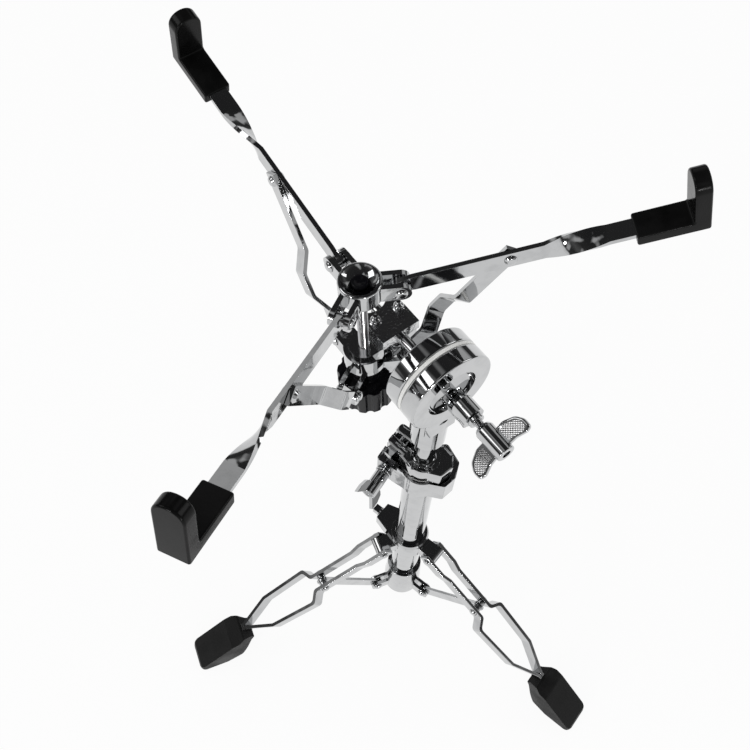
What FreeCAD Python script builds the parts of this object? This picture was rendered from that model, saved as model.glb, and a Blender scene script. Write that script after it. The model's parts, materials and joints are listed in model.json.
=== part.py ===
import FreeCAD, Part
import math
import os

from FreeCAD import Placement, Rotation, Vector

doc = FreeCAD.newDocument("SnareDrumStand")
sheet = doc.addObject("Spreadsheet::Sheet", "Sizes")

# Driving dimensions in millimetres and degrees. The stand tube is the Z axis and the floor is Z = 0.
SIZES = {
    "running_gap": 0.3,
    "pin_play": 0.06,
    # stand tubes
    "tube_diameter": 25.4,
    "tube_wall": 1.5,
    "tube_bottom": 18.0,
    "tube_top": 280.0,
    "upper_tube_diameter": 16.0,
    "upper_tube_wall": 1.3,
    "upper_tube_length": 246.0,
    # leg collar and legs
    "leg_azimuth": 90.0,
    "leg_pivot_radius": 27.6,
    "leg_pivot_height": 135.9,
    "leg_drop_angle": 35.8,
    "leg_collar_radius": 17.0,
    "leg_collar_height": 17.0,
    "leg_lug_width": 13.2,
    "leg_lug_round": 5.8,
    "leg_collar_rim": 3.0,
    "lock_tail_reach": 31.0,
    "lock_tail_half": 8.0,
    "lock_tail_thick": 12.0,
    "lock_screw_radius": 3.0,
    "leg_strap_width": 11.6,
    "leg_strap_thick": 3.0,
    "leg_neck_half": 4.9,
    "leg_bulge_half": 14.1,
    "leg_taper_half": 12.0,
    "leg_neck_start": 26.8,
    "leg_neck_end": 75.9,
    "brace_pin_along": 67.4,
    "leg_bulge_start": 81.9,
    "leg_bulge_end": 130.0,
    "leg_join": 160.0,
    "leg_length": 208.0,
    "strap_bend": 9.0,
    "pivot_pin_radius": 2.6,
    "rivet_head_radius": 4.2,
    "rivet_head_high": 1.9,
    # braces between the lower collar and the legs
    "brace_collar_radius": 17.3,
    "brace_collar_height": 19.0,
    "brace_sleeve_height": 27.0,
    "brace_pivot_radius": 27.0,
    "brace_pivot_height": 30.0,
    "brace_width": 10.6,
    "brace_thick": 2.8,
    "ear_thick": 3.0,
    "ear_reach": 6.2,
    # rubber feet
    "foot_start": 162.5,
    "foot_width": 29.0,
    "foot_sole_inner": 186.0,
    "foot_outer": 212.5,
    "foot_outer_high": 8.5,
    "foot_top_rise": 8.5,
    # height clamp and memory lock
    "clamp_bottom": 262.0,
    "clamp_height": 25.0,
    "clamp_radius": 15.6,
    "clamp_slot": 3.2,
    "clamp_ear_reach": 31.8,
    "clamp_ear_depth": 14.0,
    "clamp_screw_offset": 24.4,
    "clamp_screw_radius": 3.0,
    "lock_height": 15.5,
    "lock_radius": 13.4,
    "clamp_nut_radius": 5.6,
    "clamp_nut_length": 20.0,
    "clamp_nut_span": 10.6,
    "clamp_nut_thick": 4.0,
    "clamp_nut_turn": 132.0,
    # tilter
    "tilter_height": 409.0,
    "tilter_azimuth": -45.0,
    "tilter_rise": 2.0,
    "tilter_side_shift": 3.6,
    "tilter_axis_shift": 3.2,
    "tilter_radius": 31.9,
    "tilter_half_width": 12.3,
    "tilter_round": 1.4,
    "ring_thick": 2.9,
    "dish_radius": 18.1,
    "dish_depth": 8.0,
    "tilter_boss_radius": 7.7,
    "tilter_boss_end": 35.4,
    "socket_radius": 12.5,
    "socket_bottom": 338.0,
    "socket_depth": 34.0,
    "tilter_stud_radius": 3.0,
    "wing_hub_radius": 6.5,
    "wing_hub_length": 23.0,
    "wing_span": 24.0,
    "wing_thick": 4.6,
    "wing_turn": 43.0,
    # offset rod and bracket
    "rod_radius": 4.2,
    "rod_reach": 49.6,
    "rod_side": 22.5,
    "rod_below_hub": 62.7,
    "basket_tilt": 2.8,
    "plate_thick": 8.5,
    "plate_inner": 6.9,
    "plate_width": 29.4,
    "plate_front": 11.6,
    "plate_back": 15.6,
    "scallop_radius": 13.0,
    "scallop_depth": 4.2,
    "block_drop": 11.5,
    "bracket_bolt_spread": 18.7,
    "bracket_bolt_radius": 1.9,
    "housing_radius": 10.7,
    # basket hub, arms and struts
    "basket_turn": -1.1,
    "hub_radius": 13.6,
    "hub_top": 8.5,
    "hub_bottom": -6.6,
    "hub_pivot_radius": 24.0,
    "cap_radius": 5.4,
    "rod_thread_radius": 3.6,
    "thread_end": -124.0,
    "arm_rise": 14.5,
    "arm_width": 12.2,
    "arm_thick": 3.0,
    "arm_twist_start": 86.0,
    "arm_twist_end": 122.0,
    "arm_length": 167.0,
    "strut_pivot_on_arm": 66.0,
    "strut_width": 11.6,
    "strut_thick": 2.6,
    "pivot_gap": 6.8,
    "pivot_ear_thick": 3.2,
    "pivot_barrel_radius": 4.6,
    "strut_collar_radius": 14.0,
    "strut_collar_top": -66.0,
    "strut_collar_bottom": -81.0,
    "strut_pivot_height": -85.0,
    "strut_pivot_radius": 26.0,
    # grips
    "grip_base_start": "=arm_length - 30.5",
    "grip_face": "=arm_length + 0.6",
    "grip_outer": "=arm_length + 10.0",
    "grip_width": 18.2,
    "grip_base_top": 2.9,
    "grip_base_bottom": 5.2,
    "grip_upright": 35.0,
    # knob
    "knob_top": -98.0,
    "knob_height": 24.0,
    "knob_radius": 20.0,
    "knob_flutes": 12.0,
    "knob_flute_radius": 3.6,
}

for row, (alias, value) in enumerate(SIZES.items(), start=1):
    sheet.set("A%d" % row, alias)
    sheet.set("B%d" % row, str(value))
    sheet.setAlias("B%d" % row, alias)
doc.recompute()


def size(alias):
    """Value of one cell of the sheet."""
    return float(sheet.get(alias))


# A node is one exported piece: its label and the document object that holds its shape.
nodes = {}

X_AXIS = Vector(1, 0, 0)
Y_AXIS = Vector(0, 1, 0)
Z_AXIS = Vector(0, 0, 1)


def place(x=0.0, y=0.0, z=0.0, axis=Z_AXIS, angle=0.0):
    return Placement(Vector(x, y, z), Rotation(axis, angle))


def in_sheet(expression):
    """Write an expression with every alias tied to the sheet."""
    words = []
    for word in expression.split():
        words.append("Sizes." + word if word in SIZES else word)
    return " ".join(words)


def bind(item, **expressions):
    for prop, expression in expressions.items():
        item.setExpression(prop, in_sheet(expression))


def cylinder(radius, height, at=None):
    """Cylinder along the local Z axis of its placement; sizes are sheet expressions."""
    item = doc.addObject("Part::Cylinder", "Cylinder")
    bind(item, Radius=radius, Height=height)
    item.Placement = at or Placement()
    return item


def cone(radius1, radius2, height, at=None):
    item = doc.addObject("Part::Cone", "Cone")
    bind(item, Radius1=radius1, Radius2=radius2, Height=height)
    item.Placement = at or Placement()
    return item


def sphere(radius, at=None):
    item = doc.addObject("Part::Sphere", "Sphere")
    bind(item, Radius=radius)
    item.Placement = at or Placement()
    return item


def block(length, width, height, at=None):
    item = doc.addObject("Part::Box", "Block")
    bind(item, Length=length, Width=width, Height=height)
    item.Placement = at or Placement()
    return item


def fuse(*items):
    joined = doc.addObject("Part::MultiFuse", "Joined")
    joined.Shapes = list(items)
    joined.Refine = True
    return joined


def cut(base, *tools):
    result = base
    for tool in tools:
        step = doc.addObject("Part::Cut", "Trimmed")
        step.Base = result
        step.Tool = tool
        step.Refine = True
        result = step
    return result


def group(*items):
    """Identical loose pieces that share one node."""
    bundle = doc.addObject("Part::Compound", "Group")
    bundle.Links = list(items)
    return bundle


def rounded(item, radius, keep):
    """Fillet of the edges for which keep(edge) is true."""
    doc.recompute()
    fillet = doc.addObject("Part::Fillet", "Rounded")
    fillet.Base = item
    edges = []
    for index, edge in enumerate(item.Shape.Edges, start=1):
        if keep(edge):
            edges.append((index, radius, radius))
    fillet.Edges = edges
    return fillet


def node(label, item, at=None):
    item.Label = label
    if at is not None:
        item.Placement = at.multiply(item.Placement)
    nodes[label] = item
    return item


def plane_of(body, role):
    for feature in body.Origin.OriginFeatures:
        if feature.Role == role:
            return feature
    raise ValueError("no plane " + role)


def new_body(name):
    return doc.addObject("PartDesign::Body", name)


def outline(body, points, plane="XY_Plane", bend=0.0, closed=True):
    """Sketch of straight runs; a bend above 0 rounds each inner corner by an arc."""
    sketch = body.newObject("Sketcher::SketchObject", "Outline")
    sketch.AttachmentSupport = [(plane_of(body, plane), "")]
    sketch.MapMode = "FlatFace"
    corners = [Vector(px, py, 0) for px, py in points]
    count = len(corners)
    starts = list(corners)
    ends = list(corners)
    arcs = []
    for index in range(count):
        if bend <= 0 or (not closed and index in (0, count - 1)):
            continue
        before = corners[index - 1]
        here = corners[index]
        after = corners[(index + 1) % count]
        to_before = (before - here)
        to_after = (after - here)
        turn = math.pi - to_before.getAngle(to_after)
        reach = bend * math.tan(turn / 2)
        if turn < 0.02 or reach > 0.48 * min(to_before.Length, to_after.Length):
            continue
        first = here + Vector(to_before).normalize() * reach
        last = here + Vector(to_after).normalize() * reach
        half = (Vector(to_before).normalize() + Vector(to_after).normalize()).normalize()
        middle = here + half * (bend / math.cos(turn / 2) - bend)
        arcs.append(Part.Arc(first, middle, last))
        ends[index] = first
        starts[index] = last
    runs = range(count) if closed else range(count - 1)
    for index in runs:
        sketch.addGeometry(Part.LineSegment(starts[index], ends[(index + 1) % count]), False)
    for arc in arcs:
        sketch.addGeometry(arc, False)
    return sketch


def ring_sketch(body, circles, plane="XY_Plane"):
    """Sketch of whole circles, each (x, y, radius), with a radius constraint on each."""
    sketch = body.newObject("Sketcher::SketchObject", "Circles")
    sketch.AttachmentSupport = [(plane_of(body, plane), "")]
    sketch.MapMode = "FlatFace"
    for px, py, radius in circles:
        sketch.addGeometry(Part.Circle(Vector(px, py, 0), Z_AXIS, radius), False)
    return sketch


def pad(body, sketch, length, centred=True, reverse=False):
    feature = body.newObject("PartDesign::Pad", "Pad")
    feature.Profile = sketch
    bind(feature, Length=length)
    feature.Midplane = centred
    feature.Reversed = reverse
    return feature


def pocket(body, sketch, length, centred=True, reverse=False):
    feature = body.newObject("PartDesign::Pocket", "Pocket")
    feature.Profile = sketch
    bind(feature, Length=length)
    feature.Midplane = centred
    feature.Reversed = reverse
    return feature


def strap_outline(path, thickness, bend):
    """Closed outline of a flat strap that follows a path of corners on one face."""
    far = []
    count = len(path)
    for index, (px, py) in enumerate(path):
        here = Vector(px, py, 0)
        normals = []
        if index > 0:
            run = here - Vector(path[index - 1][0], path[index - 1][1], 0)
            normals.append(Vector(-run.y, run.x, 0).normalize())
        if index < count - 1:
            run = Vector(path[index + 1][0], path[index + 1][1], 0) - here
            normals.append(Vector(-run.y, run.x, 0).normalize())
        mean = Vector(0, 0, 0)
        for normal in normals:
            mean = mean + normal
        mean.normalize()
        offset = here + mean * (thickness / mean.dot(normals[0]))
        far.append((offset.x, offset.y))
    return list(path) + far[::-1]


# Frames of the sub-assemblies
TILTER_TURN = Rotation(Z_AXIS, size("tilter_azimuth"))
tilter_axis = TILTER_TURN.multVec(Rotation(Y_AXIS, -size("tilter_rise")).multVec(X_AXIS))
tilter_side = TILTER_TURN.multVec(Y_AXIS)
tilter_up = tilter_axis.cross(tilter_side)
tilter_centre = Vector(0, 0, size("tilter_height"))
tilter_centre = tilter_centre + tilter_side * size("tilter_side_shift")
tilter_centre = tilter_centre - TILTER_TURN.multVec(X_AXIS) * size("tilter_axis_shift")
# Tilter frame: local Z is the tilting axis towards the wing nut and local Y is up
tilter = Placement(tilter_centre, Rotation(tilter_side, tilter_up, tilter_axis, "ZXY"))
# Basket frame: local X points along the rod to the tilter and local Z up the basket's screw
tilted = Placement(tilter_centre, Rotation(tilter_axis, size("basket_tilt")).multiply(tilter.Rotation))
basket_x = tilter_axis
basket_z = tilted.Rotation.multVec(Y_AXIS)
basket_y = basket_z.cross(basket_x)
basket_turned = Rotation(basket_x, basket_y, basket_z, "ZXY")
hub_offset = Vector(size("rod_reach"), size("rod_side"), -size("rod_below_hub"))
basket = Placement(tilter_centre - basket_turned.multVec(hub_offset), basket_turned)

ARM_SHIFT = -0.4
LEGS = {"left": 120.0, "right": 240.0, "rear": 0.0}
ARMS = {"rear": 180.0, "right": 60.0, "front": -60.0}


def azimuth(angle):
    return place(axis=Z_AXIS, angle=angle)


def leg_frame(side):
    """Local X down along the leg from its pivot, local Y across it."""
    turn = azimuth(size("leg_azimuth") + LEGS[side])
    pivot = place(size("leg_pivot_radius"), 0, size("leg_pivot_height"), Y_AXIS, size("leg_drop_angle"))
    return turn.multiply(pivot)


def arm_frame(side):
    """Local X out along the arm from its pivot in the hub, local Y across it."""
    turn = azimuth(ARMS[side] + size("basket_turn"))
    pivot = place(size("hub_pivot_radius"), ARM_SHIFT, 0, Y_AXIS, -size("arm_rise"))
    return basket.multiply(turn).multiply(pivot)


# Lower tube with its plastic end cap
tube_span = "( tube_top - tube_bottom )"
tube_skin = cylinder("tube_diameter / 2", tube_span, place(z=size("tube_bottom")))
tube_hollow = cylinder("tube_diameter / 2 - tube_wall", tube_span, place(z=size("tube_bottom")))
node("lower_tube", cut(tube_skin, tube_hollow))

CAP_THICK = 3.0
CAP_PLUG = 9.0
cap_plate = cylinder("tube_diameter / 2", str(CAP_THICK), place(z=size("tube_bottom") - CAP_THICK))
cap_plug = cylinder("tube_diameter / 2 - tube_wall - pin_play", str(CAP_PLUG), place(z=size("tube_bottom")))
node("tube_end_cap", fuse(cap_plate, cap_plug))


def clevis(pivot_r, pivot_z, inner_r, gap, ear_width, pin_radius, round_reach, low, high):
    """Two ears either side of a strap; local X is outwards, with a hole across for the pin."""
    pieces = []
    for sign in (1, -1):
        side_y = gap / 2 if sign > 0 else -gap / 2 - ear_width
        arm = doc.addObject("Part::Box", "Ear")
        arm.Length = pivot_r - inner_r
        arm.Width = ear_width
        arm.Height = high - low
        arm.Placement = place(inner_r, side_y, pivot_z + low)
        tip = doc.addObject("Part::Cylinder", "EarTip")
        tip.Radius = round_reach
        tip.Height = ear_width
        tip.Placement = Placement(Vector(pivot_r, side_y, pivot_z), Rotation(X_AXIS, -90))
        pieces.append(fuse(arm, tip))
    hole = doc.addObject("Part::Cylinder", "PinHole")
    hole.Radius = pin_radius
    hole.Height = gap + 4 * ear_width
    hole.Placement = Placement(Vector(pivot_r, -gap / 2 - 2 * ear_width, pivot_z), Rotation(X_AXIS, -90))
    return pieces, hole


def rivet(radius, span, head_radius, head_high):
    """Rivet along local Y with a domed head at both ends; span is between the heads."""
    shank = doc.addObject("Part::Cylinder", "Shank")
    shank.Radius = radius
    shank.Height = span
    shank.Placement = Placement(Vector(0, -span / 2, 0), Rotation(X_AXIS, -90))
    heads = []
    for sign in (1, -1):
        heads.append(rivet_head(radius, sign * span / 2, sign, head_radius, head_high))
    return fuse(shank, *heads)


def rivet_head(radius, start, sign, head_radius, head_high):
    """Low domed head on a face at Y = start, its dome pointing along sign."""
    head = doc.addObject("Part::Cone", "RivetHead")
    head.Radius1 = head_radius
    head.Radius2 = head_radius * 0.62
    head.Height = head_high
    head.Placement = Placement(Vector(0, start, 0), Rotation(X_AXIS, -90 * sign))
    return head


# Lower collar that carries the braces: ring, sleeve and three clevises
brace_low = size("brace_pivot_height") - size("brace_collar_height") / 2
ear_gap = size("brace_thick") + 2 * size("running_gap")
collar_ring = cylinder("brace_collar_radius", "brace_collar_height", place(z=brace_low))
sleeve_z = brace_low + size("brace_collar_height")
collar_sleeve = cone("brace_collar_radius", "brace_collar_radius - 1.6", "brace_sleeve_height", place(z=sleeve_z))
collar_pieces = [collar_ring, collar_sleeve]
collar_holes = []
for side, turn in LEGS.items():
    low = -size("ear_reach")
    high = size("ear_reach")
    ears, hole = clevis(size("brace_pivot_radius"), size("brace_pivot_height"), size("tube_diameter") / 2 + 1.5,
                        ear_gap, size("ear_thick"), size("pivot_pin_radius") + size("pin_play"),
                        size("ear_reach"), low, high)
    for item in ears + [hole]:
        item.Placement = azimuth(size("leg_azimuth") + turn).multiply(item.Placement)
    collar_pieces.extend(ears)
    collar_holes.append(hole)
bore_span = "( brace_collar_height + brace_sleeve_height )"
collar_bore = cylinder("tube_diameter / 2", bore_span, place(z=brace_low))
node("brace_collar", cut(fuse(*collar_pieces), collar_bore, *collar_holes))

brace_rivets = []
for side, turn in LEGS.items():
    pin = rivet(size("pivot_pin_radius"), ear_gap + 2 * size("ear_thick"),
                size("rivet_head_radius"), size("rivet_head_high"))
    spot = place(size("brace_pivot_radius"), 0, size("brace_pivot_height"))
    pin.Placement = azimuth(size("leg_azimuth") + turn).multiply(spot)
    brace_rivets.append(pin)
node("brace_collar_rivets", group(*brace_rivets))

# Leg collar: a sliding ring with three barrel lugs and a tail for its lock screw
leg_low = size("leg_pivot_height") - size("leg_collar_height") / 2
sliding_bore = size("tube_diameter") / 2 + size("running_gap") / 2
leg_ring = cylinder("leg_collar_radius", "leg_collar_height", place(z=leg_low))
leg_rim = cone("leg_collar_radius", "leg_collar_radius - 1.4", "leg_collar_rim",
               place(z=leg_low + size("leg_collar_height")))
leg_parts = [leg_ring, leg_rim]
leg_holes = []
for side, turn in LEGS.items():
    face = size("leg_lug_width")
    arm = block("leg_pivot_radius", "leg_lug_width", "2 * leg_lug_round",
                place(0, -face / 2, size("leg_pivot_height") - size("leg_lug_round")))
    barrel = cylinder("leg_lug_round", "leg_lug_width",
                      Placement(Vector(size("leg_pivot_radius"), -face / 2, size("leg_pivot_height")),
                                Rotation(X_AXIS, -90)))
    lug = fuse(arm, barrel)
    hole = cylinder("pivot_pin_radius", "2 * leg_lug_width",
                    Placement(Vector(size("leg_pivot_radius"), -face, size("leg_pivot_height")),
                              Rotation(X_AXIS, -90)))
    for item in (lug, hole):
        item.Placement = azimuth(size("leg_azimuth") + turn).multiply(item.Placement)
    leg_parts.append(lug)
    leg_holes.append(hole)
TAIL_AZIMUTH = 60.0
tail_reach = size("lock_tail_reach")
tail_half = size("lock_tail_half")
tail_thick = size("lock_tail_thick")
tail_body = new_body("TailBody")
tail_profile = outline(tail_body, [(0, -size("leg_collar_radius")), (tail_reach, -tail_half),
                                   (tail_reach, tail_half), (0, size("leg_collar_radius"))])
pad(tail_body, tail_profile, "lock_tail_thick", centred=False)
tail_z = leg_low + size("leg_collar_height") + size("leg_collar_rim") / 2 - tail_thick
tail_body.Placement = azimuth(size("leg_azimuth") + TAIL_AZIMUTH).multiply(place(z=tail_z))
leg_parts.append(tail_body)
leg_bore = doc.addObject("Part::Cylinder", "SlidingBore")
leg_bore.Radius = sliding_bore
leg_bore.Height = size("leg_collar_height") + size("leg_collar_rim")
leg_bore.Placement = place(z=leg_low)
screw_level = tail_z + tail_thick / 2
tail_turn = azimuth(size("leg_azimuth") + TAIL_AZIMUTH)
lock_hole = cylinder("lock_screw_radius", "lock_tail_reach + 10",
                     tail_turn.multiply(Placement(Vector(0, 0, screw_level), Rotation(Y_AXIS, 90))))
node("leg_collar", cut(fuse(*leg_parts), leg_bore, lock_hole, *leg_holes))

# Square-headed screw in the tail, from just off the tube to its head outside
SCREW_HEAD = 6.0
SCREW_SQUARE = 6.4
FLANGE_RADIUS = 4.6
FLANGE_THICK = 1.6
screw_tip = size("tube_diameter") / 2 + size("running_gap")
flange_start = tail_reach + size("running_gap")
along_screw = Rotation(Y_AXIS, 90)
lock_shank = cylinder("lock_screw_radius - pin_play", str(flange_start + FLANGE_THICK - screw_tip),
                      Placement(Vector(screw_tip, 0, 0), along_screw))
lock_flange = cylinder(str(FLANGE_RADIUS), str(FLANGE_THICK), Placement(Vector(flange_start, 0, 0), along_screw))
lock_square = block(str(SCREW_HEAD), str(SCREW_SQUARE), str(SCREW_SQUARE),
                    place(flange_start + FLANGE_THICK, -SCREW_SQUARE / 2, -SCREW_SQUARE / 2))
node("leg_lock_screw", fuse(lock_shank, lock_flange, lock_square), tail_turn.multiply(place(z=screw_level)))

# Legs: two bent straps each, riveted together inside the foot
strap = size("leg_strap_thick")
half_hub = size("leg_lug_width") / 2 + size("running_gap")
leg_path = [
    (-size("leg_strap_width") / 2, half_hub),
    (size("leg_neck_start") - 9.0, half_hub),
    (size("leg_neck_start"), size("leg_neck_half")),
    (size("leg_neck_end"), size("leg_neck_half")),
    (size("leg_bulge_start"), size("leg_bulge_half")),
    (size("leg_bulge_end"), size("leg_taper_half")),
    (size("leg_join"), size("running_gap") / 2),
    (size("leg_length"), size("running_gap") / 2),
]
brace_span = Vector(size("leg_pivot_radius") - size("brace_pivot_radius"), 0,
                    size("leg_pivot_height") - size("brace_pivot_height"))
drop = math.radians(size("leg_drop_angle"))
brace_run = brace_span + Vector(math.cos(drop), 0, -math.sin(drop)) * size("brace_pin_along")
BRACE_PIN_X = size("brace_pin_along")


def leg_strap(side, name, sign):
    body = new_body("LegStrap")
    face = strap_outline(leg_path, strap, size("strap_bend"))
    if sign < 0:
        face = [(px, -py) for px, py in face]
    profile = outline(body, face, bend=size("strap_bend") / 2)
    pad(body, profile, "leg_strap_width")
    holes = ring_sketch(body, [(0, 0, size("pivot_pin_radius") + size("pin_play")),
                               (BRACE_PIN_X, 0, size("pivot_pin_radius"))], plane="XZ_Plane")
    pocket(body, holes, "8 * leg_lug_width")
    node(side + "_leg_strap_" + name, body, leg_frame(side))


def leg_pivot_bolt(side):
    """Bolt through both straps and the barrel lug, with a domed head and a nut."""
    span = 2 * (half_hub + strap)
    bolt = rivet(size("pivot_pin_radius"), span, size("rivet_head_radius"), size("rivet_head_high"))
    bolt.Placement = azimuth(size("leg_azimuth") + LEGS[side]).multiply(
        place(size("leg_pivot_radius"), 0, size("leg_pivot_height")))
    return bolt


def leg_rivet(side):
    """Heads of the brace pivot, one on the outside of each strap."""
    outer = size("leg_neck_half") + strap
    heads = []
    for sign in (1, -1):
        stub = doc.addObject("Part::Cylinder", "Stub")
        stub.Radius = size("pivot_pin_radius")
        stub.Height = strap
        stub.Placement = Placement(Vector(0, sign * size("leg_neck_half"), 0), Rotation(X_AXIS, -90 * sign))
        head = rivet_head(size("pivot_pin_radius"), sign * outer, sign,
                          size("rivet_head_radius"), size("rivet_head_high"))
        heads.append(fuse(stub, head))
    both = group(*heads)
    both.Placement = place(x=BRACE_PIN_X)
    node(side + "_leg_brace_rivet", both, leg_frame(side))


def rubber_foot(side):
    """Moulded foot: flat sole, rounded heel, sloping top and a bevelled nose."""
    body = new_body("Foot")
    frame = place(size("leg_pivot_radius"), 0, size("leg_pivot_height"), Y_AXIS, size("leg_drop_angle"))
    nose_top = frame.multVec(Vector(size("foot_start") + 2, 0, size("foot_top_rise") - 1))
    brow = frame.multVec(Vector(size("foot_start") + 15, 0, size("foot_top_rise") + 1.5))
    nose_low = frame.multVec(Vector(size("foot_start"), 0, -size("foot_top_rise") + 1))
    sole_in = Vector(size("foot_sole_inner"), 0, 0)
    heel = Vector((nose_low.x + sole_in.x) / 2 - 5.5, 0, nose_low.z * 0.30)
    sole_out = Vector(size("foot_outer") - 2.0, 0, 0)
    toe = Vector(size("foot_outer"), 0, size("foot_outer_high") * 0.45)
    toe_top = Vector(size("foot_outer") - 1.5, 0, size("foot_outer_high"))
    corners = [sole_in, sole_out, toe, toe_top, brow, nose_top, nose_low, heel]
    sketch = body.newObject("Sketcher::SketchObject", "FootSide")
    sketch.AttachmentSupport = [(plane_of(body, "XZ_Plane"), "")]
    sketch.MapMode = "FlatFace"
    flat = [Vector(c.x, c.z, 0) for c in corners]
    for index in range(6):
        sketch.addGeometry(Part.LineSegment(flat[index], flat[index + 1]), False)
    sketch.addGeometry(Part.Arc(flat[6], flat[7], flat[0]), False)
    pad(body, sketch, "foot_width")
    half = size("foot_width") / 2
    start_r = nose_low.x - 2
    taper = 12.0
    pinch = 5.0
    for sign in (1, -1):
        corner = outline(body, [(start_r, sign * (half - pinch)), (start_r + 4, sign * (half - pinch)),
                                (start_r + 4 + taper, sign * (half + 0.5)), (start_r, sign * (half + 0.5))])
        pocket(body, corner, "400")
    doc.recompute()
    slot_frame = leg_frame(side)
    body.Placement = azimuth(size("leg_azimuth") + LEGS[side])
    slot_wide = 2 * strap + size("running_gap") + 2 * size("pin_play")
    slot = doc.addObject("Part::Box", "StrapSlot")
    slot.Length = size("leg_length") - size("foot_start") + 3.0 + size("pin_play")
    slot.Width = slot_wide
    slot.Height = size("leg_strap_width") + 2 * size("pin_play")
    slot.Placement = slot_frame.multiply(
        place(size("foot_start") - 3.0, -slot_wide / 2, -size("leg_strap_width") / 2 - size("pin_play")))
    node(side + "_foot", cut(body, slot))


def brace(side):
    """Flat link from the lower collar up to the pivot between the leg's straps."""
    angle = math.degrees(math.atan2(brace_run.z, brace_run.x))
    length = brace_run.Length
    half = size("brace_width") / 2
    body = new_body("Brace")
    bar = outline(body, [(0, -half), (length, -half), (length, half), (0, half)], plane="XZ_Plane")
    pad(body, bar, "brace_thick")
    ends = ring_sketch(body, [(0, 0, half)], plane="XZ_Plane")
    pad(body, ends, "brace_thick")
    far = ring_sketch(body, [(length, 0, half)], plane="XZ_Plane")
    pad(body, far, "brace_thick")
    hole = ring_sketch(body, [(0, 0, size("pivot_pin_radius") + size("pin_play"))], plane="XZ_Plane")
    pocket(body, hole, "4 * brace_thick")
    spacer_radius = size("pivot_pin_radius") + 1.4
    spacer = ring_sketch(body, [(length, 0, spacer_radius)], plane="XZ_Plane")
    pad(body, spacer, "2 * leg_neck_half - 2 * running_gap")
    pivot = place(size("brace_pivot_radius"), 0, size("brace_pivot_height"), Y_AXIS, -angle)
    node(side + "_brace", body, azimuth(size("leg_azimuth") + LEGS[side]).multiply(pivot))


leg_bolts = []
for leg_side in LEGS:
    leg_strap(leg_side, "a", 1)
    leg_strap(leg_side, "b", -1)
    leg_bolts.append(leg_pivot_bolt(leg_side))
    leg_rivet(leg_side)
    rubber_foot(leg_side)
    brace(leg_side)
node("leg_pivot_bolts", group(*leg_bolts))

# Height clamp: a split casting round the top of the lower tube, its two ears at the back left
clamp_low = size("clamp_bottom")
clamp_top = clamp_low + size("clamp_height")
EAR_TURN = 156.0
ear_depth = size("clamp_ear_depth")
ear_reach = size("clamp_ear_reach")


def from_ear(x, y):
    """World XY of a point in the ear's frame, its X along the ear."""
    turned = Rotation(Z_AXIS, EAR_TURN).multVec(Vector(x, y, 0))
    return turned.x, turned.y


clamp_ring = cylinder("clamp_radius", "clamp_height", place(z=clamp_low))
clamp_blank = new_body("ClampCasting")
clamp_face = outline(clamp_blank, [(-5.0, -13.8), (19.0, -14.8), (26.0, -6.0), (27.5, 7.0), (17.0, 21.0),
                                   (2.0, 16.5), from_ear(ear_reach, -ear_depth), from_ear(ear_reach, ear_depth)],
                     bend=2.5)
pad(clamp_blank, clamp_face, "clamp_height - 2", centred=False)
clamp_blank.Placement = place(z=clamp_low + 1.0)
clamp_bore = cylinder("tube_diameter / 2", "tube_top - clamp_bottom", place(z=clamp_low))
top_room = doc.addObject("Part::Cylinder", "BushingRoom")
top_room.Radius = size("tube_diameter") / 2 + 1.0
top_room.Height = clamp_top - size("tube_top")
top_room.Placement = place(z=size("tube_top"))
slot_cut = block("clamp_ear_reach + 20", "clamp_slot", "clamp_height + 2",
                 Placement(Vector(0, 0, clamp_low - 1), Rotation(Z_AXIS, EAR_TURN)).multiply(
                     place(y=-size("clamp_slot") / 2)))
# Screw frame: local Z along the clamp screw towards its wing nut
screw_z = clamp_low + 9.0
ear_frame = Placement(Vector(0, 0, screw_z), Rotation(Z_AXIS, EAR_TURN))
screw_frame = ear_frame.multiply(Placement(Vector(size("clamp_screw_offset"), 0, 0), Rotation(X_AXIS, -90)))
screw_hole = cylinder("clamp_screw_radius + pin_play", "4 * clamp_ear_depth",
                      screw_frame.multiply(place(z=-2 * ear_depth)))
# Flat seats for the screw's head and the washer
seats = []
for sign in (1, -1):
    seat = block("22", "22", "14", screw_frame.multiply(place(-7, -13, ear_depth if sign > 0 else -ear_depth - 14)))
    seats.append(seat)
node("height_clamp", cut(fuse(clamp_ring, clamp_blank), clamp_bore, top_room, slot_cut, screw_hole, *seats))

# Clamp screw through both ears with a washer and a wing nut at the front
SCREW_HEAD_HIGH = 5.0
SCREW_TIP = 36.0
WASHER_THICK = 1.6
clamp_nut_start = ear_depth + 2 * size("running_gap") + WASHER_THICK
screw_shank = cylinder("clamp_screw_radius", str(SCREW_TIP + ear_depth), place(z=-ear_depth))
screw_head = block("11", "11", str(SCREW_HEAD_HIGH), place(-5.5, -5.5, -ear_depth - SCREW_HEAD_HIGH - 0.1))
screw_neck = cylinder("clamp_screw_radius", "1", place(z=-ear_depth - 0.6))
node("clamp_screw", fuse(screw_shank, screw_neck, screw_head), screw_frame)
clamp_washer = cut(cylinder("6.5", str(WASHER_THICK), place(z=ear_depth + size("running_gap") / 2)),
                   cylinder("clamp_screw_radius + pin_play", str(WASHER_THICK),
                            place(z=ear_depth + size("running_gap") / 2)))
node("clamp_washer", clamp_washer, screw_frame)


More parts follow.
